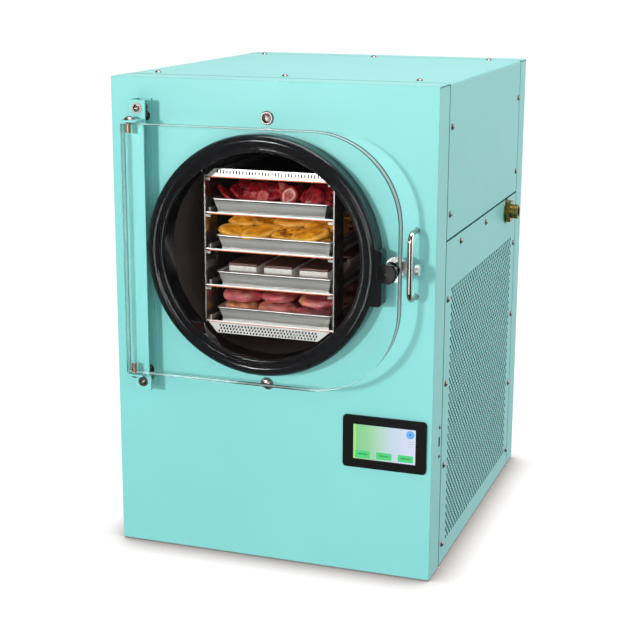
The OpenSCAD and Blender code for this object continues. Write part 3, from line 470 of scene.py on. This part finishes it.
def toned(name, rough, var, grain, bump, depth, **inputs):
    """Damp finish of a piece that carries its colours in its vertices: the colour times a noise."""
    t = Mat(name)
    tone = t.node("ShaderNodeVertexColor", layer_name="tone")
    speckle = t.ramp(t.noise(260.0, 4.0, 0.65), [(0.25, (1 - var,) * 3), (0.75, (1.0, 1.0, 1.0))])
    t.shader(Base_Color=t.mix(1.0, tone.outputs["Color"], speckle, "MULTIPLY"),
             Roughness=t.remap(t.noise(150.0, 3.0), target=rough), **inputs)
    t.bump(t.noise(grain, 3.0), bump, depth)
    return t.m


class Heap:
    """Collects many small closed forms into one mesh."""

    def __init__(self):
        self.verts, self.faces, self.colours = [], [], []

    def add(self, verts, faces, colours):
        start = len(self.verts)
        self.verts += verts
        self.colours += colours
        self.faces += [tuple(i + start for i in face) for face in faces]

    def piece(self, name, material, body, smooth=True):
        mesh = bpy.data.meshes.new(name)
        mesh.from_pydata([tuple(v) for v in self.verts], [], self.faces)
        mesh.validate()
        mesh.update()
        tones = mesh.color_attributes.new("tone", "FLOAT_COLOR", "POINT")
        for point, colour in zip(tones.data, self.colours):
            point.color = (*colour, 1.0)
        for p in mesh.polygons:
            p.use_smooth = smooth
        o = bpy.data.objects.new(name, mesh)
        bpy.context.scene.collection.objects.link(o)
        mesh.materials.append(material)
        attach(o, body)
        return o

    def slice(self, outline, thick, tone, place, seed, turns=28, rings=9, power=4.0, warp=0.0022):
        """Adds a slice that is thick millimetres at its middle, with rings of points from the middle to the rim
        on both faces. outline(angle) gives x, y at the rim, tone(f, angle, up) gives the colour at the share f
        of the way out, and place maps a local point to the frame. A higher power gives a flatter face, and warp
        bends the whole slice."""
        verts, colours, faces = [], [], []
        off = Vector((seed * 3.1, seed * 1.7, 0))
        half = thick / MM / 2
        roundness, crowding, ragging = 1 / 2.2, 0.7, 0.05

        def point(f, k, up):
            a = 2 * math.pi * k / turns
            x, y = outline(a)
            height = half * (1 - f ** power) ** roundness * (1 if up else -1)
            height += warp * noise.noise(Vector((x * f, y * f, 0)) * 60 + off)
            ragged = 1 + ragging * noise.noise(Vector((math.cos(a), math.sin(a), 0)) * 2.3 + off)
            return place @ Vector((x * f * ragged, y * f * ragged, height))

        for up in (True, False):
            centre = len(verts)
            verts.append(point(0, 0, up))
            colours.append(tone(0, 0, up))
            first = centre + 1
            last = rings if up else rings - 1
            for r in range(1, last + 1):
                f = (r / rings) ** crowding
                for k in range(turns):
                    verts.append(point(f, k, up))
                    colours.append(tone(f, 2 * math.pi * k / turns, up))
            half_faces = [(centre, first + k, first + (k + 1) % turns) for k in range(turns)]
            for r in range(last - 1):
                inner, outer = first + r * turns, first + (r + 1) * turns
                half_faces += [(inner + k, outer + k, outer + (k + 1) % turns, inner + (k + 1) % turns)
                               for k in range(turns)]
            faces += half_faces if up else [face[::-1] for face in half_faces]
            if up:
                rim = outer
            else:
                faces += [(outer + k, outer + (k + 1) % turns, rim + (k + 1) % turns, rim + k)
                          for k in range(turns)]
        self.add(verts, faces, colours)


def placed(x, y, z, spin, tilt, way):
    """x, y, z in millimetres; the slice is spun, then tilted about the level axis that points along way."""
    axis = Vector((math.cos(way), math.sin(way), 0))
    return (Matrix.Translation(Vector((x, y, z)) / MM) @ Matrix.Rotation(tilt, 4, axis) @
            Matrix.Rotation(spin, 4, "Z"))


def oval(width, length, lump, seed, point=0.0):
    """Outline in millimetres; lump is its unevenness, and point above 0 draws the +y end to a tip."""
    def at(a):
        x, y = math.cos(a), math.sin(a)
        k = 1 + lump * noise.noise(Vector((x * 1.4 + seed, y * 1.4, seed * 0.7)))
        taper = 1 - point * max(0.0, y) ** 1.5 * 0.9
        stretch = 1 + 0.25 * point * max(0.0, y) ** 3
        return width / 2 / MM * x * k * taper, length / 2 / MM * y * k * stretch
    return at


# ---------------------------------------------------------------- the food on the trays

TRAY_RIM = {tray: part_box(tray)[1].z * MM for tray in ("tray_1", "tray_2", "tray_3", "tray_4")}
TRAY_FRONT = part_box("tray_1")[0].y * MM

BERRY_SKIN = (0.17, 0.006, 0.012)
BERRY_RED = (0.50, 0.010, 0.018)
BERRY_DEEP = (0.075, 0.004, 0.010)
BERRY_PALE = (0.90, 0.58, 0.52)
BERRY_CORE = (0.50, 0.05, 0.05)
SKIN, PALE_CUT, DARK_CUT = 0, 1, 2
BERRY_LUMP = 0.10
BERRY_CORE_TO, BERRY_PALE_TO, BERRY_SKIN_FROM = 0.44, 0.64, 0.76    # shares of the way from middle to rim
BERRY_CORE_BLUR = 0.10

# millimetres: x, y behind the lip, z over the rim, width, length, thickness; radians: spin, tilt, way of the
# tilt; and the kind
FRONT_BERRIES = (
    (-70, 10, 3, 25, 36, 6.5, 1.5, 0.62, 1.75, SKIN),
    (-58, 17, 8, 27, 34, 8.0, 0.4, 0.55, 1.2, SKIN),
    (-46, 12, 3, 23, 34, 5.0, 1.25, 0.42, 0.2, DARK_CUT),
    (-36, 22, 12, 27, 33, 8.0, 2.2, 0.5, 0.3, SKIN),
    (-34, 9, 2.5, 16, 20, 5.0, 2.6, 0.9, 0.1, DARK_CUT),
    (-50, 26, 16, 24, 34, 7.0, 0.9, 0.35, 0.9, SKIN),
    (-21, 10, 3, 21, 24, 6.5, 2.8, 1.15, 0.15, DARK_CUT),
    (-12, 20, 7, 27, 34, 9.0, 1.2, 0.7, -0.2, SKIN),
    (-16, 26, 14, 26, 36, 8.0, 1.4, 0.4, 0.2, SKIN),
    (2, 24, 11, 24, 34, 8.0, 0.6, 0.6, 0.1, DARK_CUT),
    (16, 11, 5.5, 25, 31, 7.0, 2.75, 1.12, 0.10, PALE_CUT),
    (25, 26, 8, 26, 34, 7.0, 0.2, 0.5, 0.4, SKIN),
    (41, 13, 8, 15, 33, 5.0, 0.15, 1.25, 1.25, DARK_CUT),
    (43, 7, 1.5, 15, 20, 5.0, 1.1, 0.6, 0.3, PALE_CUT),
    (53, 14, 7, 28, 34, 10.0, 0.5, 0.95, -0.1, SKIN),
    (66, 18, 6, 27, 32, 9.0, 2.0, 0.7, -0.5, SKIN),
    (60, 26, 13, 26, 33, 8.0, 1.0, 0.5, 0.4, SKIN),
    (74, 10, 0, 20, 26, 6.0, 0.3, 0.35, 2.4, SKIN),
)


def berry_tone(kind, seed):
    """SKIN is the outside of an end slice, PALE_CUT a cut face with its pale ring, DARK_CUT a darker one."""
    def tone(f, a, up):
        n = noise.noise(Vector((math.cos(a) * f * 4 + seed, math.sin(a) * f * 4, seed * 1.3)))
        if kind == SKIN or (not up and f > 0.5):
            return blend(BERRY_DEEP, BERRY_RED, 0.45 + 1.1 * n)
        rim = blend(BERRY_RED, BERRY_SKIN, 0.3 + 0.6 * n)
        pale = blend(BERRY_PALE, BERRY_RED, (0.05 if kind == PALE_CUT else 0.86) + 0.6 * n)
        if f > BERRY_SKIN_FROM:
            return rim
        if f > BERRY_PALE_TO:
            return blend(pale, rim, (f - BERRY_PALE_TO) / (BERRY_SKIN_FROM - BERRY_PALE_TO))
        if f > BERRY_CORE_TO:
            return blend(BERRY_CORE, pale, (f - BERRY_CORE_TO) / BERRY_CORE_BLUR)
        return blend(BERRY_CORE, BERRY_PALE, n)
    return tone


def berries():
    """The front slices lie as stated; behind them the tray is filled in rows, two slices deep."""
    heap, rnd, rim, lip = Heap(), random.Random(11), TRAY_RIM["tray_1"], TRAY_FRONT + 7
    for i, (x, y, z, w, l, t, spin, tilt, way, kind) in enumerate(FRONT_BERRIES):
        heap.slice(oval(w, l, BERRY_LUMP, i, point=0.55), t, berry_tone(kind, i),
                   placed(x, lip + y, rim + z, spin, tilt, way), i)
    rows, columns, step_x, step_y, shake, first_seed = 9, 5, 31, 39, 6, 30
    first_x, first_y, layers = -62, TRAY_FRONT + 52, ((0, -9), (1, 2))
    for row in range(rows):
        for column in range(columns):
            i = first_seed + row * columns + column
            x = first_x + column * step_x + rnd.uniform(-shake, shake)
            y = first_y + row * step_y + rnd.uniform(-shake, shake)
            for layer, z in layers:
                tone = berry_tone(rnd.choice((SKIN, SKIN, PALE_CUT, DARK_CUT)), i + layer)
                place = placed(x + layer * 7, y + layer * 9, rim + z, rnd.uniform(0, 6),
                               rnd.uniform(0.05, 0.45), rnd.uniform(0, 3))
                heap.slice(oval(27, 35, BERRY_LUMP, i, point=0.5), 8.0, tone, place, i + layer * 3)
    return heap


GOLD = (0.95, 0.43, 0.018)
GOLD_PALE = (1.0, 0.68, 0.13)
GOLD_DEEP = (0.46, 0.15, 0.007)
GOLD_BROWN = (0.15, 0.04, 0.006)
GOLD_LUMP = 0.07

# as for the berries, with the strength of the brown patches in place of the kind
FRONT_GOLD = (
    (-57, 12, 4.5, 27, 60, 8.0, 1.60, 0.55, 0.06, 0.30),
    (-24, 9, 5.0, 25, 58, 8.0, 2.02, 0.62, 0.10, 0.05),
    (-30, 20, -3.0, 27, 60, 8.0, 1.45, 0.30, 0.05, 0.10),
    (-56, 27, 15.5, 26, 44, 8.0, 1.6, 0.45, 0.1, 0.25),
    (-20, 30, 14.0, 26, 52, 8.0, 1.5, 0.30, 0.0, 0.9),
    (18, 12, 3.5, 28, 66, 9.0, 1.52, 0.60, -0.08, 0.9),
    (47, 8, 5.5, 26, 56, 8.0, 1.85, 0.62, -0.06, 0.5),
    (45, 18, -2.0, 27, 60, 8.0, 1.5, 0.35, 0.0, 0.1),
    (14, 30, 17.0, 26, 56, 8.0, 1.6, 0.3, 0.0, 0.15),
    (59, 27, 14.5, 26, 56, 8.0, 1.75, 0.5, 0.15, 0.35),
)


def gold_tone(seed, brown):
    def tone(f, a, up):
        p = Vector((math.cos(a) * f, math.sin(a) * f, seed))
        n = noise.noise(p * 2.2)
        m = noise.noise(p * 5.5 + Vector((4, 1, 0)))
        c = blend(GOLD, GOLD_DEEP, 0.35 + 0.9 * n)
        c = blend(c, GOLD_BROWN, brown * max(0.0, m) * 3.2 * (1 if f < 0.75 else 0.3))
        c = blend(c, GOLD_PALE, (0.75 * max(0.0, f - 0.6) / 0.28 if f < 0.88 else 0.1) + 0.25 * max(0.0, -m))
        return blend(c, GOLD_BROWN, 0.6 if f > 0.93 and not up else (0.35 if f > 0.97 else 0.0))
    return tone


def golden():
    """Long slices that point across the tray, three deep behind the front ones."""
    heap, rnd, rim, lip = Heap(), random.Random(5), TRAY_RIM["tray_2"], TRAY_FRONT + 8
    for i, (x, y, z, w, l, t, spin, tilt, way, brown) in enumerate(FRONT_GOLD):
        heap.slice(oval(w, l, GOLD_LUMP, i), t, gold_tone(i, brown),
                   placed(x, lip + y, rim + z, spin, tilt, way), i, turns=34, rings=7, power=5.0, warp=0.0016)
    rows, columns, step_x, step_y, first_seed = 10, 3, 50, 34, 20
    first_x, first_y, layers = -50, TRAY_FRONT + 58, ((0, -10), (1, 1), (2, 11))
    for row in range(rows):
        for column in range(columns):
            i = first_seed + row * columns + column
            for layer, z in layers:
                x = first_x + column * step_x + rnd.uniform(-5, 5)
                y = first_y + row * step_y + rnd.uniform(-4, 4)
                place = placed(x, y, rim + z, 1.57 + rnd.uniform(-0.3, 0.3), rnd.uniform(0, 0.22),
                               rnd.uniform(0, 3))
                heap.slice(oval(29, 54, GOLD_LUMP, i), 8.0, gold_tone(i + layer, 0.3), place, i + layer,
                           turns=26, rings=6, power=5.0, warp=0.0014)
    return heap


SLAB_PINK = (0.62, 0.085, 0.12)
SLAB_ROSE = (0.72, 0.20, 0.18)
SLAB_PEACH = (0.88, 0.42, 0.18)
SLAB_DUSK = (0.20, 0.045, 0.055)
SLAB_FAT = (0.86, 0.50, 0.42)
SLAB_LUMP = 0.12

# millimetres: x, y behind the lip, z over the rim, width, length, thickness; spin in radians; main colour,
# colour of the left end, share of peach on the lower face
FRONT_SLABS = (
    (-56, 22, -5.5, 54, 50, 19, 0.1, SLAB_PEACH, SLAB_PEACH, 1.0),
    (-56, 23, 12.5, 56, 50, 17, 0.4, SLAB_PINK, SLAB_ROSE, 0.0),
    (-3, 20, -4.0, 56, 46, 21, 0.0, SLAB_ROSE, SLAB_PEACH, 0.25),
    (-4, 27, 13.0, 52, 48, 14, 0.2, SLAB_PINK, SLAB_ROSE, 0.1),
    # this slab's dusk colour is painted shade: the slabs to the right lie in shadow
    (50, 22, -5.0, 54, 48, 20, 0.2, SLAB_DUSK, SLAB_PINK, 0.1),
    (51, 26, 10.5, 52, 48, 13, 0.3, SLAB_PINK, SLAB_PEACH, 0.0),
)


def slab_tone(base, side, seed, low):
    def tone(f, a, up):
        x, y = math.cos(a) * f, math.sin(a) * f
        n = noise.noise(Vector((x, y, seed)) * 3.0)
        streak = noise.noise(Vector((x * 2.0, y * 2.0 + (3 if up else 0), f * 7.0 + seed)))
        c = blend(base, SLAB_DUSK, 0.15 + 0.8 * n + 0.8 * max(0.0, streak))
        c = blend(c, SLAB_FAT, -streak * 0.9)
        c = blend(c, side, max(0.0, -x) ** 2 * 0.9)
        return blend(c, SLAB_PEACH, low * (0.2 if up else 0.9) * (0.6 + 0.5 * n))
    return tone


def slabs():
    """Thick slices of meat in two layers."""
    heap, rnd, rim, lip = Heap(), random.Random(3), TRAY_RIM["tray_4"], TRAY_FRONT + 9
    for i, (x, y, z, w, l, t, spin, base, side, low) in enumerate(FRONT_SLABS):
        tilt = 0.06 * ((i % 3) - 1)
        heap.slice(oval(w, l, SLAB_LUMP, i), t, slab_tone(base, side, i, low),
                   placed(x, lip + y, rim + z, spin, tilt, 0.7), i, turns=44, rings=10, power=3.2, warp=0.0025)
    rows, columns, step_x, step_y, shake, first_seed = 6, 3, 52, 57, 3, 9
    first_x, first_y, layers = -52, TRAY_FRONT + 84, ((0, -6), (1, 11))
    for row in range(rows):
        for column in range(columns):
            i = first_seed + row * columns + column
            for layer, z in layers:
                base = rnd.choice((SLAB_PINK, SLAB_ROSE, SLAB_DUSK))
                x = first_x + column * step_x + rnd.uniform(-shake, shake)
                y = first_y + row * step_y + rnd.uniform(-shake, shake)
                place = placed(x, y, rim + z, rnd.uniform(0, 3), rnd.uniform(-0.08, 0.08), 0.5)
                heap.slice(oval(50, 54, SLAB_LUMP, i), 17, slab_tone(base, SLAB_ROSE, i + layer, 0.3), place,
                           i + layer, turns=32, rings=8, power=3.2, warp=0.003)
    return heap


CREAM = (0.93, 0.90, 0.86)
CREAM_SHADE = (0.55, 0.50, 0.44)
WAFER = (0.052, 0.019, 0.012)
WAFER_EDGE = (0.11, 0.038, 0.022)
BAR_WIDTH, BAR_LENGTH, BAR_STEP = 42, 84, 96    # millimetres
BAR_ROWS = 4
WAFER_UNDER, WAFER_OVER = 3.6, 4.0              # thickness of the two wafers
WAFER_FRONT = 2                                 # depth of the paler strip along a wafer's front


# Where x, y and z read their noise. mathutils' own noise_vector isn't used, because it changes from run to run.
NOISE_SHIFTS = (Vector((9.3, -1.5, -7.9)), Vector((-3.6, 5.1, 2.4)), Vector((4.7, 8.2, -6.3)))


def lowest_first(face):
    """The same face, started at its lowest point number."""
    start = face.index(min(face))
    return tuple(face[start:] + face[:start])


def bar_block(heap, low, high, tone, radius, seed, lump):
    """A rounded block with slightly uneven faces, between two corners in millimetres. Only its long edges are
    cut up, so that its faces can swell by lump. The mesh tools may return points and faces in another order in
    each run, so both are sorted."""
    bm = bmesh.new()
    bmesh.ops.create_cube(bm, size=1.0)
    for v in bm.verts:
        v.co = Vector([(a + b) / 2 + c * (b - a) for a, b, c in zip(low, high, v.co)])
    bmesh.ops.bevel(bm, geom=bm.edges[:], offset=radius, segments=3, profile=0.6, affect="EDGES")
    longest = [e for e in bm.edges if e.calc_length() > 7]
    bmesh.ops.subdivide_edges(bm, edges=longest, cuts=9, use_grid_fill=True)
    bmesh.ops.triangulate(bm, faces=bm.faces[:])
    off = Vector((seed * 7.3, seed * 2.9, seed))
    for v in bm.verts:
        v.co += Vector([noise.noise(v.co * 0.11 + off + shift) for shift in NOISE_SHIFTS]) * lump
    order = sorted(bm.verts, key=lambda v: tuple(v.co))
    index = {v: i for i, v in enumerate(order)}
    heap.add([v.co / MM for v in order],
             sorted(lowest_first([index[v] for v in f.verts]) for f in bm.faces),
             [tone(v.co, noise.noise(v.co * 0.35 + off)) for v in order])
    bm.free()


def bars():
    """Each bar is a cream block between two wafers that stand a little past it."""
    heap = Heap()
    low, high = (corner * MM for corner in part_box("sandwich_bars"))
    middles = (low.x + BAR_WIDTH / 2, (low.x + high.x) / 2, high.x - BAR_WIDTH / 2)

    def cream_tone(p, n):
        return blend(CREAM, CREAM_SHADE, 0.12 + 0.3 * n)

    for row in range(BAR_ROWS):
        y0 = low.y + row * BAR_STEP
        y1 = y0 + BAR_LENGTH

        def wafer_tone(p, n, front=y0 + WAFER_FRONT):
            return blend(WAFER, WAFER_EDGE, (0.9 if p.y < front else 0.1) + 0.5 * n)

        for column, middle in enumerate(middles):
            x0, x1 = middle - BAR_WIDTH / 2, middle + BAR_WIDTH / 2
            seed = row * len(middles) + column
            bar_block(heap, (x0 + 0.7, y0 + 0.8, low.z + 3.2), (x1 - 0.7, y1 - 0.8, high.z - 3.6), cream_tone,
                      radius=1.6, seed=seed, lump=0.5)
            for z0, z1 in ((low.z, low.z + WAFER_UNDER), (high.z - WAFER_OVER, high.z)):
                bar_block(heap, (x0, y0, z0 + 0.1), (x1, y1, z1 - 0.1), wafer_tone, radius=1.3,
                          seed=seed + z0, lump=0.35)
    return heap


FOOD = (
    (berries, "strawberry_slices", "strawberry",
     toned("strawberry_flesh", (0.25, 0.5), var=0.5, grain=620.0, bump=0.9, depth=0.0011,
           Specular_IOR_Level=0.3)),
    (golden, "yellow_slices", "yellow_fruit",
     toned("golden_slice", (0.24, 0.46), var=0.12, grain=520.0, bump=0.7, depth=0.0009,
           Specular_IOR_Level=0.5)),
    (bars, "sandwich_bars", "sandwich",
     toned("sandwich_bar", (0.45, 0.65), var=0.16, grain=1500.0, bump=0.3, depth=0.0003)),
    (slabs, "meat_slices", "meat",
     toned("meat_slab", (0.2, 0.42), var=0.30, grain=420.0, bump=0.8, depth=0.0012,
           Specular_IOR_Level=0.5)),
)

for build, node, slot, material in FOOD:
    piece = build().piece(node + "_detail", material, "cabinet")
    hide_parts(node)

# ---------------------------------------------------------------- the lit display

SCREEN_MARGIN = (6.7, 5.7)          # millimetres from the display node's sides and ends to the lit picture
SCREEN_GLOW = 0.95
PICTURE = (                         # share of the width, colour
    (0.0, "a8f07c"), (0.028, "a2ee82"), (0.05, "88d28e"), (0.25, "98d8a2"), (0.42, "b4dcc6"), (0.62, "c6dcea"),
    (0.85, "d6dff6"), (1.0, "e2e4fb"),
)


def lit(name):
    """A glossy dark face that gives off light; its Emission Color is still to be fed."""
    t = Mat(name)
    t.shader(Base_Color=(0.02, 0.02, 0.022, 1), Emission_Strength=SCREEN_GLOW,
             Roughness=t.remap(t.noise(60.0, 2.0), target=(0.16, 0.24)))
    t.bump(t.noise(500.0, 1.0), 0.02, 0.0001)
    return t


def picture_box():
    """The lowest and highest corner of the lit picture in millimetres."""
    low, high = (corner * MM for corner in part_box("display_screen"))
    margin = Vector((SCREEN_MARGIN[0], 0, SCREEN_MARGIN[1]))
    return low + margin, high - margin


def screen_material():
    t = lit("lit_screen")
    low, high = picture_box()
    across = t.remap(t.axis("Object", "X"), (low.x / MM, high.x / MM))
    t.shader(Emission_Color=t.ramp(across, [(at, srgb(code)) for at, code in PICTURE]))
    return t.m


def marks_material():
    t = lit("lit_marks")
    t.shader(Emission_Color=t.node("ShaderNodeVertexColor", layer_name="tone").outputs["Color"])
    return t.m


def rounded_outline(cx, cz, width, height, radius, steps=5):
    points = []
    for sx, sz, start in ((1, 1, 0), (-1, 1, 90), (-1, -1, 180), (1, -1, 270)):
        for i in range(steps + 1):
            a = math.radians(start + 90 * i / steps)
            points.append((cx + sx * (width / 2 - radius) + radius * math.cos(a),
                           cz + sz * (height / 2 - radius) + radius * math.sin(a)))
    return points


def screen_marks():
    """Three plain keys, a round mark and short dashes, all thin raised plates on the lit face. Millimetres."""
    heap = Heap()
    low, high = picture_box()
    face, bevel = low.y, 0.4

    def plate(cx, cz, width, height, radius, thick, colour, edge=None):
        outer = rounded_outline(cx, cz, width, height, radius)
        inner = rounded_outline(cx, cz, width - 2 * bevel, height - 2 * bevel, max(0.1, radius - bevel))
        n = len(outer)
        levels = ((outer, face + 0.02), (outer, face - thick), (inner, face - thick - 0.02))
        verts = [Vector((x, y, z)) / MM for ring, y in levels for x, z in ring]
        colours = [srgb(edge or colour)] * (2 * n) + [srgb(colour)] * n
        faces = [(level * n + i, level * n + (i + 1) % n, (level + 1) * n + (i + 1) % n, (level + 1) * n + i)
                 for level in (0, 1) for i in range(n)]
        faces += [tuple(range(2 * n, 3 * n)), tuple(range(n))[::-1]]
        heap.add(verts, faces, colours)

    width, height = high.x - low.x, high.z - low.z
    for left, right in ((0.03, 0.27), (0.37, 0.62), (0.72, 0.965)):
        cx, cz = low.x + (left + right) / 2 * width, low.z + 0.14 * height
        plate(cx, cz, (right - left) * width, 0.2 * height, 0.8, 0.06, "48d87c", "3cc46c")
        plate(cx, cz + 0.3, (right - left) * width * 0.62, 1.7, 0.5, 0.09, "2f9a4f")
    cx, cz = low.x + 0.914 * width, high.z - 0.155 * height
    plate(cx, cz, 11.8, 11.8, 5.85, 0.06, "66b4fb", "78bdfb")
    plate(cx - 0.4, cz + 0.2, 3.4, 3.4, 1.65, 0.09, "3f7fd8")
    for i, dash in enumerate((8.5, 8.0, 7.0)):
        plate(cx + 0.2, cz - 9.5 - i * 3.4, dash, 0.9, 0.4, 0.05, "bcc3dd")
    return heap


dress("display_screen", screen_material())
marks = screen_marks().piece("screen_marks", marks_material(), "cabinet", smooth=False)

# ---------------------------------------------------------------- floor, light and world

FLOOR_SIZE = 30.0                   # metres
FLOOR_GAP = 0.0002
CONTACT_REACH = 0.065               # metres; how far from the cabinet the painted soft shadow on the floor reaches
CONTACT_SHADE = (                   # share of open sky, glow of the floor
    (0.42, (0.18, 0.145, 0.135)), (0.7, (0.68, 0.645, 0.63)), (0.95, (1, 1, 1)),
)

# Directions that the plain light of the surroundings comes from, each as long as the light is strong. The last
# one is the only one that glossy surfaces mirror.
SKY_WAYS = ((-1.0, 0, 0), (0, 0, -1.05), (0, 0.72, 0))
MIRROR_GAIN, MIRROR_BASE = 1.5, 0.035
NO_BOUNCE = 0.5                     # a ray with fewer bounces off solid surfaces comes from the camera

# name, place, target, size, watts
LAMPS = (
    ("key_light", (-1.216, -3.611, 1.0), (0.0, -0.27, 0.42), 0.33, 70.0),
    ("right_fill", (1.2, -2.0, 1.0), (0.05, -0.27, 0.4), 1.2, 11.5),
    ("top_light", (0.2, -0.1, 2.5), (0.0, 0.0, 0.4), 1.6, 40.0),
    ("low_light", (0.15, -1.65, 0.12), (0.0, -0.27, 0.12), 0.7, 3.9),
    ("right_light", (2.2, 1.05, 0.85), (0.2, 0.0, 0.4), 2.0, 27.0),
)


def floor_material():
    t = Mat("pale_floor")
    # Painted shadow: the floor's glow darkens where ambient occlusion finds the cabinet close by
    open_sky = t.node("ShaderNodeAmbientOcclusion", samples=12)
    open_sky.inputs["Distance"].default_value = CONTACT_REACH
    t.shader(Base_Color=t.ramp(t.noise(2.0, 2.0), [(0.0, (0.12, 0.12, 0.12)), (1.0, (0.13, 0.13, 0.13))]),
             Roughness=t.remap(t.noise(4.0, 2.0), target=(0.85, 0.95)),
             Emission_Color=t.ramp(open_sky.outputs["AO"], CONTACT_SHADE),
             Emission_Strength=1.0, Specular_IOR_Level=0.0)
    t.bump(t.noise(40.0, 1.0), 0.01, 0.0005)
    return t.m


def make_floor():
    """A floor that only the camera sees, so that it throws no light and shows in no mirror."""
    bm = bmesh.new()
    bmesh.ops.create_grid(bm, x_segments=8, y_segments=8, size=FLOOR_SIZE)
    mesh = bpy.data.meshes.new("floor")
    bm.to_mesh(mesh)
    bm.free()
    mesh.materials.append(floor_material())
    o = bpy.data.objects.new("floor", mesh)
    bpy.context.scene.collection.objects.link(o)
    o.location.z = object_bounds()[0][2] - FLOOR_GAP
    o.visible_diffuse = False
    o.visible_glossy = False
    o.visible_transmission = False


def make_lamp(name, place, target, size, watts):
    data = bpy.data.lights.new(name, "AREA")
    data.shape = "SQUARE"
    data.size = size
    data.energy = watts
    o = bpy.data.objects.new(name, data)
    bpy.context.scene.collection.objects.link(o)
    o.location = place
    o.rotation_euler = (Vector(target) - Vector(place)).to_track_quat("-Z", "Y").to_euler()


def make_world():
    """White to the camera, also through clear parts; nearly dark in mirrors, except at the rear. As a light it
    is brighter from the left, below and behind."""
    world = bpy.data.worlds.new("studio")
    bpy.context.scene.world = world
    world.use_nodes = True
    world.cycles.sampling_method = "NONE"
    t = Graph(world.node_tree)
    t.tree.nodes.clear()

    def background(**inputs):
        n = t.node("ShaderNodeBackground")
        for key, value in inputs.items():
            t.feed(n.inputs[key], value)
        return n.outputs["Background"]

    coord = t.node("ShaderNodeTexCoord").outputs["Generated"]
    sides = []
    for way in SKY_WAYS:
        toward = t.node("ShaderNodeVectorMath", operation="DOT_PRODUCT")
        t.feed(toward.inputs[0], coord)
        t.feed(toward.inputs[1], way)
        sides.append(t.math("MAXIMUM", toward.outputs["Value"], 0.0))
    glow = t.math("ADD", t.math("ADD", sides[0], sides[1]), sides[2])
    mirrored = t.math("MULTIPLY_ADD", sides[-1], MIRROR_GAIN, MIRROR_BASE)
    path = t.node("ShaderNodeLightPath").outputs
    light = t.mix_shaders(path["Is Glossy Ray"], background(Strength=glow), background(Strength=mirrored))
    bounces = t.math("ADD", path["Diffuse Depth"], path["Glossy Depth"])
    direct = t.math("LESS_THAN", bounces, NO_BOUNCE)
    out = t.node("ShaderNodeOutputWorld")
    t.feed(out.inputs["Surface"], t.mix_shaders(direct, light, background(Color=(1, 1, 1, 1))))


make_floor()
make_world()
for lamp in LAMPS:
    make_lamp(*lamp)

view = bpy.context.scene.view_settings
view.view_transform = "Standard"
view.look = "None"

# ---------------------------------------------------------------- last update

bpy.context.view_layer.update()
